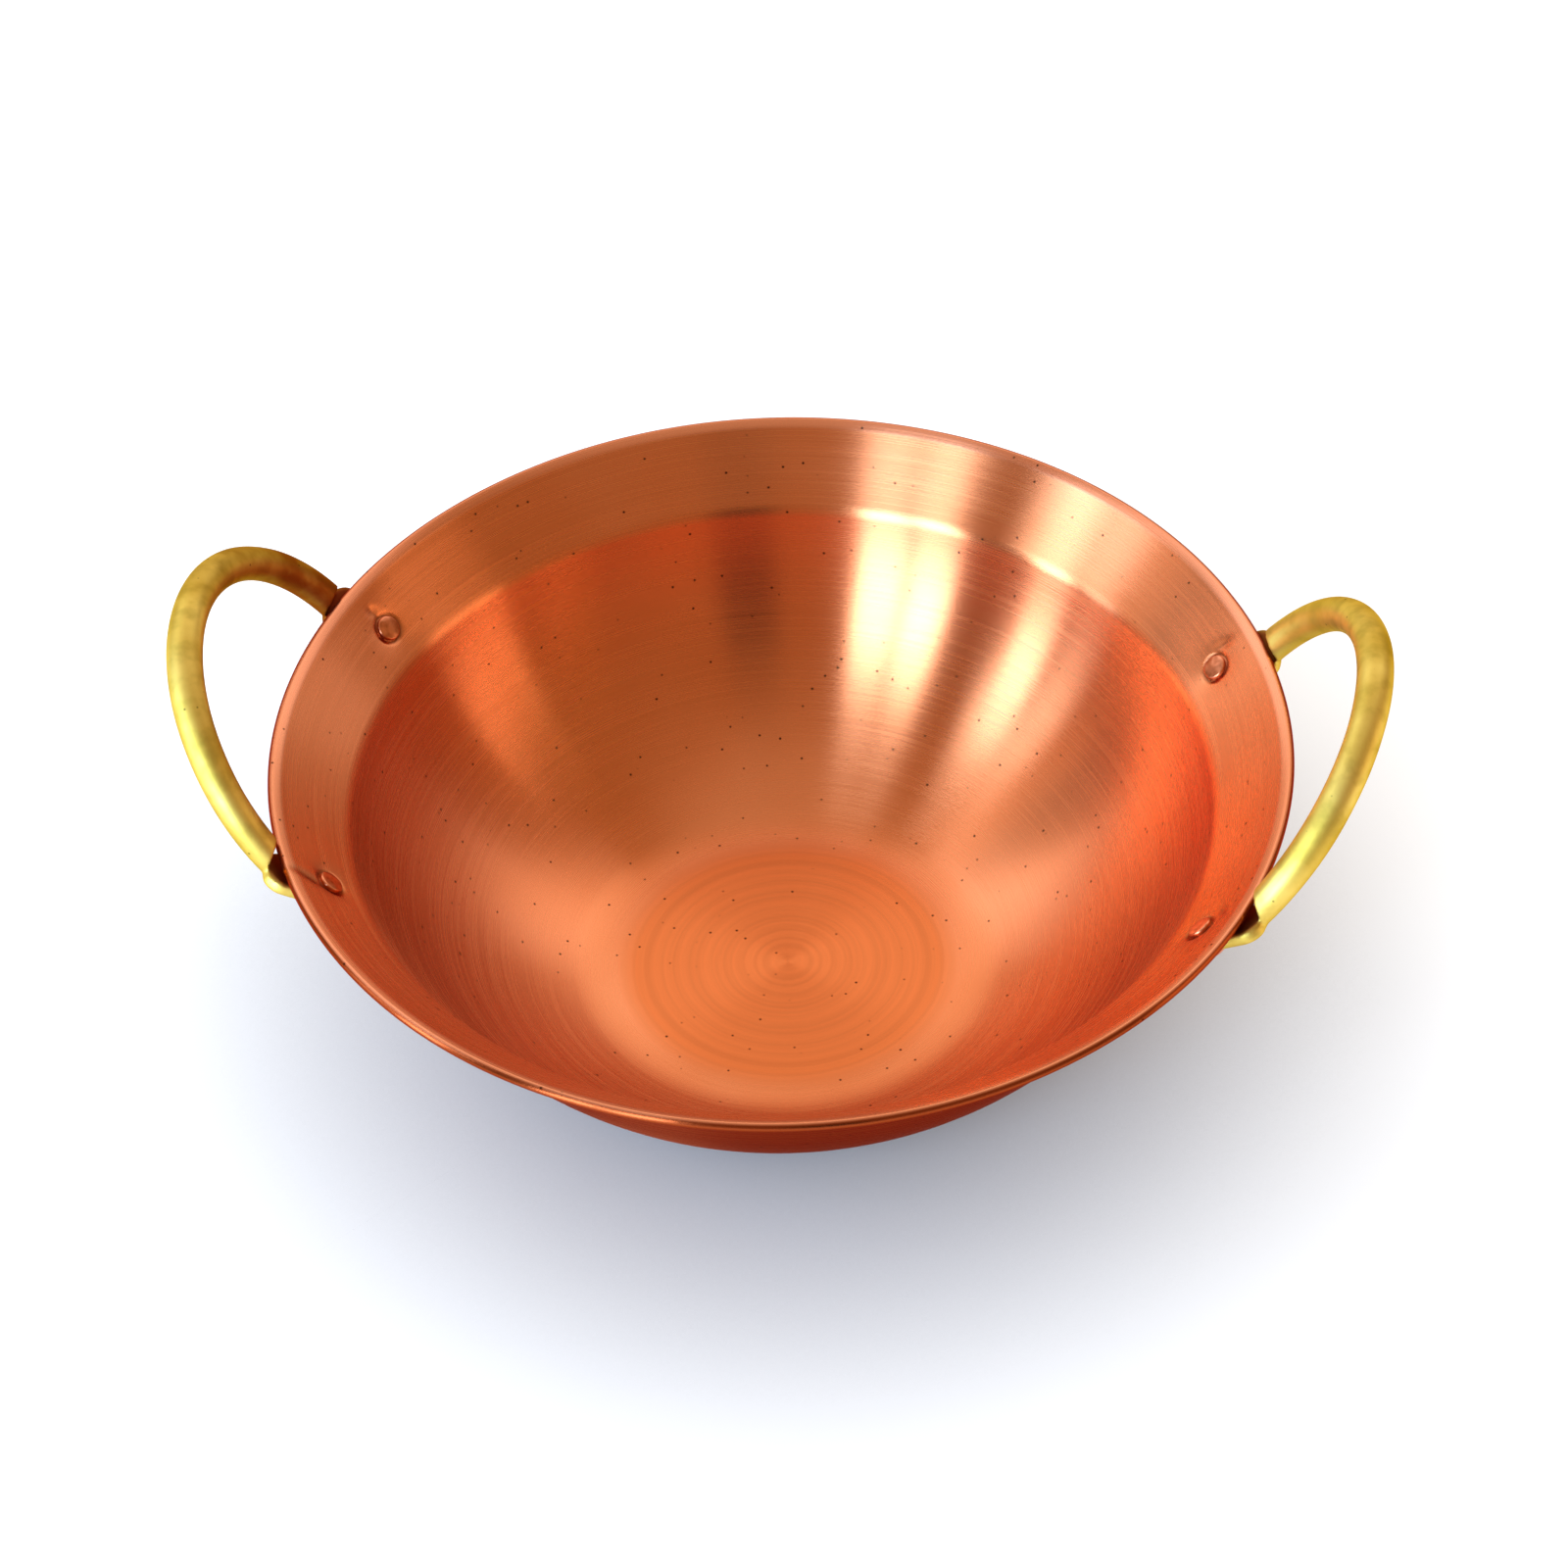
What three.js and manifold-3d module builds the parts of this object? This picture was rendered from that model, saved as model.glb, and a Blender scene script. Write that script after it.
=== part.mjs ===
// A copper pot: a spun bowl with a flared band and a turned lip, two brass loop handles and four rivets.
// Millimetres, +Z up. The origin is under the middle of the floor, on the surface the pot stands on.
// The handles lie on the X axis, and the pot is the same on both sides of the X and of the Y axis.
import * as THREE from "three";
import { mergeVertices } from "three/addons/utils/BufferGeometryUtils.js";
import Module from "manifold-3d";

const wasm = await Module();
wasm.setup();

const degrees = THREE.MathUtils.degToRad;

// Bowl. Radii and slopes are those of the inside of the sheet, and drops are measured from the lip.
const SHEET = 1.3;
const DEPTH = 84.7;
const RIM_RADIUS = 140;
const LIP_WIDTH = 3.5;
const LIP_THICKNESS = 2.6;
const LIP_CROWN = 1.2;
const CREASE_RADIUS = 118.9;
const CREASE_DROP = 18.3;
const CREASE_SETBACK = 3;
const FLOOR_RADIUS = 49;
const KNUCKLE_RADIUS = 30;
const KNUCKLE_TURN = degrees(24);

// Handles. The bar is thickest in the middle of its loop. Its feet are pads that lean away from the band, from
// their rivets to past the lip, and the bar ends over each pad in a shoulder.
const HANDLE_SPACING = 102.5;
const HANDLE_TILT = degrees(54.9);
const BAR_MIDDLE_DIAMETER = 9.9;
const BAR_FOOT_DIAMETER = 8.9;
const BAR_ABOVE_RIVET = 14;
const BAR_BELOW_BAND = 3.7;
const PAD_SPLAY = degrees(12);
const PAD_WIDTH = 15.5;
const PAD_THICKNESS = 4;
const PAD_ABOVE_RIVET = 18;
const PAD_CORNER_RADIUS = 5;
const PAD_RIVET_END_RADIUS = 5.5;
const PAD_EDGE_ROUNDING = 1.2;
const SEAT_DIAMETER = 10;
const SEAT_HEIGHT = 5.6;

// Rivets, one through each foot, set back from the lip along the band
const RIVET_SETBACK = 12.8;
const RIVET_SHANK_DIAMETER = 4.6;
const RIVET_HEAD_DIAMETER = 7.2;
const RIVET_HEAD_HEIGHT = 1.1;
const RIVET_HEAD_ROUNDING = 0.5;
const RIVET_TAIL_DIAMETER = 8;
const RIVET_TAIL_HEIGHT = 2;

// Clearance between neighbours that touch on the real pot
const FIT = 0.3;

// Facets
const BOWL_SEGMENTS = 72;
const KNUCKLE_STEPS = 3;
const WALL_STEPS = 7;
const CREASE_STEPS = 4;
const LIP_STEPS = 6;
const RIVET_SEGMENTS = 16;
const RIVET_STEPS = 2;
const BAR_SIDES = 12;
const BAR_STEPS = 32;
const BAR_END_STEPS = 4;
const PAD_STEPS = 5;
const PAD_EDGE_STEPS = 2;

const SPUN_COPPER = new THREE.MeshStandardMaterial({ color: 0xc4693f, roughness: 0.34, metalness: 1 });
const CAST_BRASS = new THREE.MeshStandardMaterial({ color: 0xc9a44a, roughness: 0.4, metalness: 1 });
const RIVET_COPPER = new THREE.MeshStandardMaterial({ color: 0xb8623c, roughness: 0.38, metalness: 1 });

// Solids

/** A closed geometry as a solid that can be joined and cut. */
function solidOf(geometry) {
  const bare = geometry.clone();
  bare.deleteAttribute("normal");
  bare.deleteAttribute("uv");
  const merged = mergeVertices(bare, 1e-4);
  return new wasm.Manifold(
    new wasm.Mesh({
      numProp: 3,
      vertProperties: new Float32Array(merged.attributes.position.array),
      triVerts: new Uint32Array(merged.index.array),
    }),
  );
}

/** A solid as a named mesh of a material. */
function meshOf(name, solid, material) {
  const { vertProperties, triVerts } = solid.getMesh();
  const geometry = new THREE.BufferGeometry();
  geometry.setAttribute("position", new THREE.BufferAttribute(vertProperties, 3));
  geometry.setIndex(new THREE.BufferAttribute(triVerts, 1));
  geometry.computeVertexNormals();
  const mesh = new THREE.Mesh(geometry, material);
  mesh.name = name;
  return mesh;
}

/** A profile of (radius, height) points turned about Z. */
function turned(profile, segments) {
  return new THREE.LatheGeometry(profile, segments).rotateX(Math.PI / 2);
}

/** Points of an arc about a centre, from one angle to another, both ends included. */
function arc(centre, radius, from, to, steps) {
  return Array.from({ length: steps + 1 }, (_, i) => {
    const angle = from + ((to - from) * i) / steps;
    return new THREE.Vector2(Math.cos(angle), Math.sin(angle)).multiplyScalar(radius).add(centre);
  });
}

// Profile of the bowl, as points of (radius, height)

const DOWN = -Math.PI / 2;
const floorTop = SHEET;
const rimTop = SHEET + DEPTH;

const crease = new THREE.Vector2(CREASE_RADIUS, rimTop - CREASE_DROP);
const lipInner = new THREE.Vector2(RIM_RADIUS - LIP_WIDTH, rimTop - LIP_CROWN);
const lipRadius = LIP_THICKNESS / 2;
const lipCentre = new THREE.Vector2(RIM_RADIUS - lipRadius, rimTop - lipRadius);
const bandUp = lipInner.clone().sub(crease).normalize();
const bandOut = new THREE.Vector2(bandUp.y, -bandUp.x);

// The wall is one arc, tangent to the knuckle round the floor, that ends at the crease.
const knuckleCentre = new THREE.Vector2(FLOOR_RADIUS, floorTop + KNUCKLE_RADIUS);
const knuckleEnd = arc(knuckleCentre, KNUCKLE_RADIUS, DOWN, DOWN + KNUCKLE_TURN, 1)[1];
const wallChord = crease.clone().sub(knuckleEnd);
const wallSlope = 2 * wallChord.angle() - KNUCKLE_TURN;
const wallRadius = wallChord.x / (Math.sin(wallSlope) - Math.sin(KNUCKLE_TURN));
const wallCentre = knuckleCentre.clone().sub(knuckleEnd).setLength(wallRadius).add(knuckleEnd);

/** The inside of the sheet, from the middle of the floor to the lip, moved outwards by a distance. */
function sheetSide(distance) {
  const wallStart = DOWN + KNUCKLE_TURN;
  const wallEnd = DOWN + wallSlope - CREASE_SETBACK / wallRadius;
  const wall = arc(wallCentre, wallRadius + distance, wallStart, wallEnd, WALL_STEPS);
  const creaseOut = new THREE.Vector2(Math.cos(wallEnd), Math.sin(wallEnd)).add(bandOut).normalize();
  const bandStart = crease.clone().addScaledVector(bandUp, CREASE_SETBACK);
  const bend = new THREE.QuadraticBezierCurve(
    wall.at(-1),
    crease.clone().addScaledVector(creaseOut, distance),
    bandStart.addScaledVector(bandOut, distance),
  );
  return [
    new THREE.Vector2(0, floorTop - distance),
    ...arc(knuckleCentre, KNUCKLE_RADIUS + distance, DOWN, wallStart, KNUCKLE_STEPS),
    ...wall.slice(1),
    ...bend.getPoints(CREASE_STEPS).slice(1),
    lipInner.clone().addScaledVector(bandOut, distance),
  ];
}

/** The outside of the bowl, from the middle of its base to the top of the lip, grown by a clearance. */
function outerSide(clearance) {
  const side = sheetSide(SHEET + clearance);
  const lip = arc(lipCentre, lipRadius + clearance, DOWN, -DOWN, LIP_STEPS);
  const bandEnd = side.pop();
  const underLip = bandEnd.addScaledVector(bandUp, (lip[0].y - bandEnd.y) / bandUp.y);
  return [...side, underLip, ...lip];
}

// Feet of the handles. The handle of these frames lies on +X, and side is +1 or -1 for its foot on +Y or -Y.

/** A rivet's place on the underside of the band, with directions up the band, outwards and along the rim. */
function rivetFrame(side) {
  const place = lipInner.clone().addScaledVector(bandUp, -RIVET_SETBACK).addScaledVector(bandOut, SHEET);
  const turn = side * Math.asin(HANDLE_SPACING / 2 / place.x);
  const swing = ({ x, y }) => new THREE.Vector3(x * Math.cos(turn), x * Math.sin(turn), y);
  const [up, out] = [swing(bandUp), swing(bandOut)];
  return { origin: swing(place), up, out, along: up.clone().cross(out) };
}

/** Moves a geometry made with X along the rim, Y up the band and Z outwards to a rivet's place. */
function atRivet(geometry, side) {
  const { origin, up, out, along } = rivetFrame(side);
  return geometry.applyMatrix4(new THREE.Matrix4().makeBasis(along, up, out).setPosition(origin));
}

/** A round bar along a rivet, between two distances outwards. */
function rivetBar(side, diameter, from, to) {
  const radius = diameter / 2;
  const geometry = new THREE.CylinderGeometry(radius, radius, to - from, RIVET_SEGMENTS);
  return solidOf(atRivet(geometry.rotateX(Math.PI / 2).translate(0, 0, (from + to) / 2), side));
}

/** The hole for a rivet, right through the sheet and the pad. */
function rivetHole(side) {
  const past = RIVET_SHANK_DIAMETER;
  return rivetBar(side, RIVET_SHANK_DIAMETER + 2 * FIT, -SHEET - past, SEAT_HEIGHT + past);
}

/** A rivet: a low flat head inside the bowl, a shank, and a domed tail on the outside of its seat. */
function rivet(side) {
  const headSeat = -SHEET - FIT;
  const headTop = headSeat - RIVET_HEAD_HEIGHT;
  const tailSeat = SEAT_HEIGHT + FIT;
  const [head, shank, tail] = [RIVET_HEAD_DIAMETER / 2, RIVET_SHANK_DIAMETER / 2, RIVET_TAIL_DIAMETER / 2];
  const corner = new THREE.Vector2(head - RIVET_HEAD_ROUNDING, headTop + RIVET_HEAD_ROUNDING);
  const dome = new THREE.EllipseCurve(0, tailSeat, tail, RIVET_TAIL_HEIGHT, 0, Math.PI / 2);
  const profile = [
    new THREE.Vector2(0, headTop),
    ...arc(corner, RIVET_HEAD_ROUNDING, DOWN, 0, RIVET_STEPS),
    new THREE.Vector2(head, headSeat),
    new THREE.Vector2(shank, headSeat),
    new THREE.Vector2(shank, tailSeat),
    ...dome.getPoints(RIVET_STEPS),
  ];
  return solidOf(atRivet(turned(profile, RIVET_SEGMENTS), side));
}

// Handles

/** The turn, in the plane of the band, that makes a foot run straight out along X. */
function padLean(side) {
  const { up, along } = rivetFrame(side);
  return Math.atan2(up.y, along.y);
}

/** Moves a geometry made with X across a pad, Y along it and Z through it, from its inner face, to its place. */
function atPad(geometry, side) {
  return atRivet(geometry.rotateX(PAD_SPLAY).rotateZ(padLean(side)).translate(0, 0, FIT), side);
}

/** A pad that runs out past the lip, round at its rivet and with round corners at its outer end. */
function pad(side) {
  const corner = new THREE.Vector2(PAD_WIDTH / 2, PAD_ABOVE_RIVET).subScalar(PAD_CORNER_RADIUS);

  // Each long side is a straight line that touches the round end and a round corner at the same angle.
  const right = corner.angle() - Math.acos((PAD_RIVET_END_RADIUS - PAD_CORNER_RADIUS) / corner.length());
  const left = Math.PI - right;
  const outline = new THREE.Shape()
    .absarc(0, 0, PAD_RIVET_END_RADIUS, left, right + 2 * Math.PI)
    .absarc(corner.x, corner.y, PAD_CORNER_RADIUS, right, Math.PI / 2)
    .absarc(-corner.x, corner.y, PAD_CORNER_RADIUS, Math.PI / 2, left);
  const geometry = new THREE.ExtrudeGeometry(outline, {
    depth: PAD_THICKNESS - 2 * PAD_EDGE_ROUNDING,
    curveSegments: PAD_STEPS,
    bevelThickness: PAD_EDGE_ROUNDING,
    bevelSize: PAD_EDGE_ROUNDING,
    bevelOffset: -PAD_EDGE_ROUNDING,
    bevelSegments: PAD_EDGE_STEPS,
  });
  return solidOf(atPad(geometry.translate(0, 0, PAD_EDGE_ROUNDING), side));
}

/** The space over a pad, up to its outer end, that the bar leaves free. */
function overPad(side) {
  const reach = HANDLE_SPACING / 2;
  const geometry = new THREE.BoxGeometry(reach, reach, reach);
  return solidOf(atPad(geometry.translate(0, PAD_ABOVE_RIVET - reach / 2, -reach / 2), side));
}

/** The line of a handle's bar: half a circle that stands on its two feet and tilts outwards. */
class Loop extends THREE.Curve {
  constructor() {
    super();
    const { origin, up, out, along } = rivetFrame(1);
    const lean = padLean(1);
    this.foot = origin.addScaledVector(out, BAR_BELOW_BAND);
    this.foot.addScaledVector(up, BAR_ABOVE_RIVET * Math.cos(lean));
    this.foot.addScaledVector(along, -BAR_ABOVE_RIVET * Math.sin(lean));
    this.rise = new THREE.Vector3(Math.cos(HANDLE_TILT), 0, Math.sin(HANDLE_TILT));
    this.normal = new THREE.Vector3(-this.rise.z, 0, this.rise.x);
  }

  getPoint(t, target = new THREE.Vector3()) {
    const angle = Math.PI * (t - 0.5);
    const radius = HANDLE_SPACING / 2;
    target.set(this.foot.x, radius * Math.sin(angle), this.foot.z);
    return target.addScaledVector(this.rise, radius * Math.cos(angle));
  }
}

/** A round bar along a loop, thickest in the middle, with round ends. */
function bar(loop) {
  const end = BAR_FOOT_DIAMETER / 2;
  const swell = BAR_MIDDLE_DIAMETER / 2 - end;

  // Rings sit close together on the round ends, which reach past the loop, and evenly between them.
  const rings = [];
  const addRing = (along, past, radius) => {
    const tangent = loop.getTangentAt(along);
    const centre = loop.getPointAt(along).addScaledVector(tangent, past);
    rings.push({ centre, radius, side: loop.normal.clone().cross(tangent) });
  };
  for (let i = 1; i <= BAR_END_STEPS; i++) {
    const angle = (Math.PI / 2) * (i / BAR_END_STEPS);
    addRing(0, -end * Math.cos(angle), end * Math.sin(angle));
  }
  for (let i = 1; i < BAR_STEPS; i++) {
    addRing(i / BAR_STEPS, 0, end + swell * Math.sin((Math.PI * i) / BAR_STEPS));
  }
  for (let i = BAR_END_STEPS; i > 0; i--) {
    const angle = (Math.PI / 2) * (i / BAR_END_STEPS);
    addRing(1, end * Math.cos(angle), end * Math.sin(angle));
  }

  const points = [];
  for (const { centre, radius, side } of rings) {
    for (let i = 0; i < BAR_SIDES; i++) {
      const angle = (2 * Math.PI * i) / BAR_SIDES;
      const point = centre.clone().addScaledVector(side, radius * Math.cos(angle));
      points.push(point.addScaledVector(loop.normal, radius * Math.sin(angle)));
    }
  }
  const first = points.push(loop.getPointAt(0).addScaledVector(loop.getTangentAt(0), -end)) - 1;
  const last = points.push(loop.getPointAt(1).addScaledVector(loop.getTangentAt(1), end)) - 1;

  const index = [];
  const at = (ring, i) => ring * BAR_SIDES + (i % BAR_SIDES);
  const lastRing = rings.length - 1;
  for (let i = 0; i < BAR_SIDES; i++) {
    index.push(first, at(0, i + 1), at(0, i), last, at(lastRing, i), at(lastRing, i + 1));
    for (let ring = 0; ring < lastRing; ring++) {
      index.push(at(ring, i), at(ring, i + 1), at(ring + 1, i));
      index.push(at(ring + 1, i), at(ring, i + 1), at(ring + 1, i + 1));
    }
  }
  return solidOf(new THREE.BufferGeometry().setFromPoints(points).setIndex(index));
}

/** A handle: its bar and two feet, each with a seat on the band round its rivet, cut clear of the bowl. */
function handle() {
  const top = new THREE.Vector2(0, rimTop + FIT);
  let solid = bar(new Loop()).subtract(overPad(1)).subtract(overPad(-1));
  for (const side of [1, -1]) {
    solid = solid.add(pad(side)).add(rivetBar(side, SEAT_DIAMETER, 0, SEAT_HEIGHT));
  }
  solid = solid.subtract(solidOf(turned([...outerSide(FIT), top], BOWL_SEGMENTS)));
  return solid.subtract(rivetHole(1)).subtract(rivetHole(-1));
}

/** The bowl, with a hole for each rivet. */
function bowl() {
  const lipTop = new THREE.Vector2(lipCentre.x, rimTop);
  const shoulder = new THREE.Vector2(RIM_RADIUS - LIP_WIDTH / 2, rimTop);
  const crown = new THREE.QuadraticBezierCurve(lipInner, shoulder, lipTop);
  const inside = [...sheetSide(0).slice(0, -1), ...crown.getPoints(LIP_STEPS / 2).slice(0, -1)];
  let solid = solidOf(turned([...outerSide(0), ...inside.toReversed()], BOWL_SEGMENTS));
  for (const side of [1, -1]) {
    const hole = rivetHole(side);
    solid = solid.subtract(hole).subtract(hole.rotate([0, 0, 180]));
  }
  return solid;
}

// The pot

const pot = new THREE.Group();
pot.add(meshOf("pot_bowl", bowl(), SPUN_COPPER));
for (const [end, turn] of [["right", 0], ["left", Math.PI]]) {
  const [back, front] = turn ? [-1, 1] : [1, -1];
  const fittings = new THREE.Group();
  fittings.rotation.z = turn;
  fittings.add(meshOf("handle_" + end, handle(), CAST_BRASS));
  fittings.add(meshOf("rivet_" + end + "_back", rivet(back), RIVET_COPPER));
  fittings.add(meshOf("rivet_" + end + "_front", rivet(front), RIVET_COPPER));
  pot.add(fittings);
}

export default pot;
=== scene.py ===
"""Looks of a copper pot: a spun bowl, two brass loop handles and their rivets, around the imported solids.

Sizes in the classes are millimetres where nothing else is said. Meshes are metres, +Z up, with the origin
under the middle of the floor and the handles at both ends of X.
"""

import logging
import math
from dataclasses import dataclass, field
from enum import Enum
from typing import Any

import bpy
import numpy as np
from mathutils import Matrix, Vector, noise


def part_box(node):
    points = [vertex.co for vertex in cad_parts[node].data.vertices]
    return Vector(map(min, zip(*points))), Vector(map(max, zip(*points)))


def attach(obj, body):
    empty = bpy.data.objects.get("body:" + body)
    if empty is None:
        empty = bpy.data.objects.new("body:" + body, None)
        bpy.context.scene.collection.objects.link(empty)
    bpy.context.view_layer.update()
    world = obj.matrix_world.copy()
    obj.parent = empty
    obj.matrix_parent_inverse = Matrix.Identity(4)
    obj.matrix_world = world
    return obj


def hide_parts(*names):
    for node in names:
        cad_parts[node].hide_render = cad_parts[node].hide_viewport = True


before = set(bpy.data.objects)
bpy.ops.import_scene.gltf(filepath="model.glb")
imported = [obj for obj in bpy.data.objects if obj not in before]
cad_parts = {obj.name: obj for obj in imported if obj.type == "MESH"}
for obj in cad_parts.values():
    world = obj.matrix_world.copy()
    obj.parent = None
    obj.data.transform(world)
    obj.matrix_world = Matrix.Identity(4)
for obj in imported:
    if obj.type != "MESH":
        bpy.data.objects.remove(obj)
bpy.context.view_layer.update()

BODY = "root"
MM = 0.001
DOWN = -math.pi / 2
FULL_TURN = 2 * math.pi
TURNING_MAP = "turning"
LOG = logging.getLogger("copper_pot")

# Sockets of Map Range and Mix by their places, because several share a name
FROM_LOW, FROM_HIGH, TO_LOW, TO_HIGH = 1, 2, 3, 4
NUMBER_A, NUMBER_B = 2, 3
COLOUR_A, COLOUR_B, COLOUR_OUT = 6, 7, 2

# Spans of a noise: the one that holds most of its values, and a narrower one for more contrast
MOST = (0.3, 0.7)
MIDDLE = (0.35, 0.65)

Node = bpy.types.Node
NodeSocket = bpy.types.NodeSocket
Tree = bpy.types.NodeTree
Mesh = bpy.types.Mesh
Object = bpy.types.Object
Material = bpy.types.Material


# Small tools

def linear(colour: str) -> tuple[float, float, float, float]:
    """Turns an sRGB hex colour to linear values, by the curve of that standard.

    Args:
        colour: Six hex digits.

    Returns:
        Red, green, blue and an alpha of 1.
    """
    shares = [int(colour[i:i + 2], 16) / 255 for i in (0, 2, 4)]
    red, green, blue = [s / 12.92 if s <= 0.04045 else ((s + 0.055) / 1.055) ** 2.4 for s in shares]
    return red, green, blue, 1.0


def add(tree: Tree, kind: str, inputs: dict[Any, Any] | None = None, **settings: Any) -> Node:
    """Adds a node with its settings, and fills its inputs.

    Args:
        tree: The node tree.
        kind: The node's type name.
        inputs: For each input, by name or index, a value or the output socket that feeds it.
        settings: The node's own properties.

    Returns:
        The new node.
    """
    node = tree.nodes.new(kind)
    for name, value in settings.items():
        setattr(node, name, value)
    for key, value in (inputs or {}).items():
        if isinstance(value, NodeSocket):
            tree.links.new(value, node.inputs[key])
        else:
            node.inputs[key].default_value = value
    return node


def mesh_object(name: str, mesh: Mesh) -> Object:
    """Links a mesh to the scene as an object at the origin, with smooth faces.

    Args:
        name: The object's name.
        mesh: The mesh.

    Returns:
        The new object.
    """
    mesh.shade_smooth()
    piece = bpy.data.objects.new(name, mesh)
    bpy.context.scene.collection.objects.link(piece)
    return piece


def applied(piece: Object, name: str) -> Mesh:
    """Turns an object with modifiers into a plain mesh, and removes the object.

    Args:
        piece: The object.
        name: The new mesh's name.

    Returns:
        The mesh with its modifiers applied.
    """
    evaluated = piece.evaluated_get(bpy.context.evaluated_depsgraph_get())
    mesh = bpy.data.meshes.new_from_object(evaluated)
    mesh.name = name
    bpy.data.objects.remove(piece)
    return mesh


def coordinates(mesh: Mesh) -> np.ndarray:
    """Reads a mesh's vertices.

    Args:
        mesh: The mesh.

    Returns:
        Points in millimetres, one row each.
    """
    flat = np.empty(len(mesh.vertices) * 3, np.float32)
    mesh.vertices.foreach_get("co", flat)
    return flat.reshape(-1, 3).astype(float) / MM


def set_coordinates(mesh: Mesh, points: np.ndarray) -> None:
    """Moves a mesh's vertices to points given in millimetres."""
    mesh.vertices.foreach_set("co", (points * MM).astype(np.float32).ravel())
    mesh.update()


def set_share(mesh: Mesh, name: str, shares: np.ndarray) -> None:
    """Keeps a share at each vertex of a mesh, as a named attribute."""
    mesh.attributes.new(name, "FLOAT", "POINT").data.foreach_set("value", shares.astype(np.float32))


def geometry_tree(name: str, inputs: dict[str, str]) -> Tree:
    """Starts a geometry node tree.

    Args:
        name: The tree's name.
        inputs: The kind of each input, by the input's name.

    Returns:
        The tree, with these inputs after its geometry, and one geometry as its output.
    """
    tree = bpy.data.node_groups.new(name, "GeometryNodeTree")
    for socket, kind in {"Geometry": "Geometry", **inputs}.items():
        tree.interface.new_socket(socket, in_out="INPUT", socket_type="NodeSocket" + kind)
    tree.interface.new_socket("Geometry", in_out="OUTPUT", socket_type="NodeSocketGeometry")
    return tree


def grown(piece: Object, tree: Tree, inputs: dict[str, Any], name: str) -> Mesh:
    """Runs a geometry node tree on an object, and removes the object.

    Args:
        piece: The object.
        tree: The tree.
        inputs: The value of each of the tree's inputs, by the input's name.
        name: The new mesh's name.

    Returns:
        What the tree made, as a plain mesh.
    """
    maker = piece.modifiers.new(tree.name, "NODES")
    maker.node_group = tree
    sockets = {s.name: s.identifier for s in tree.interface.items_tree if s.in_out == "INPUT"}
    for socket, value in inputs.items():
        maker[sockets[socket]] = value
    return applied(piece, name)


def arc(centre: np.ndarray, radius: float, start: float, end: float, steps: int) -> np.ndarray:
    """Returns points of an arc about a centre, both ends included, one row each."""
    angles = np.linspace(start, end, steps + 1)
    return centre + radius * np.stack([np.cos(angles), np.sin(angles)], axis=1)


def swung(point: np.ndarray, angle: float) -> Vector:
    """Returns a point or way of (radius, height), swung round Z to an angle."""
    return Vector((point[0] * math.cos(angle), point[0] * math.sin(angle), point[1]))


def dress(piece: Object, material: Material, slot: str, *nodes: str) -> Object:
    """Gives a piece its material, and lets it stand for solids of the frame.

    Args:
        piece: The finished piece.
        material: Its material.
        slot: A material slot's name. It is not used.
        nodes: The solids that it stands for.

    Returns:
        The same piece.
    """
    piece.data.materials.clear()
    piece.data.materials.append(material)
    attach(piece, BODY)
    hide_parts(*nodes)
    LOG.info("%s: %d faces, stands for %s", piece.name, len(piece.data.polygons), ", ".join(nodes))
    return piece


# Finishes

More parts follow.
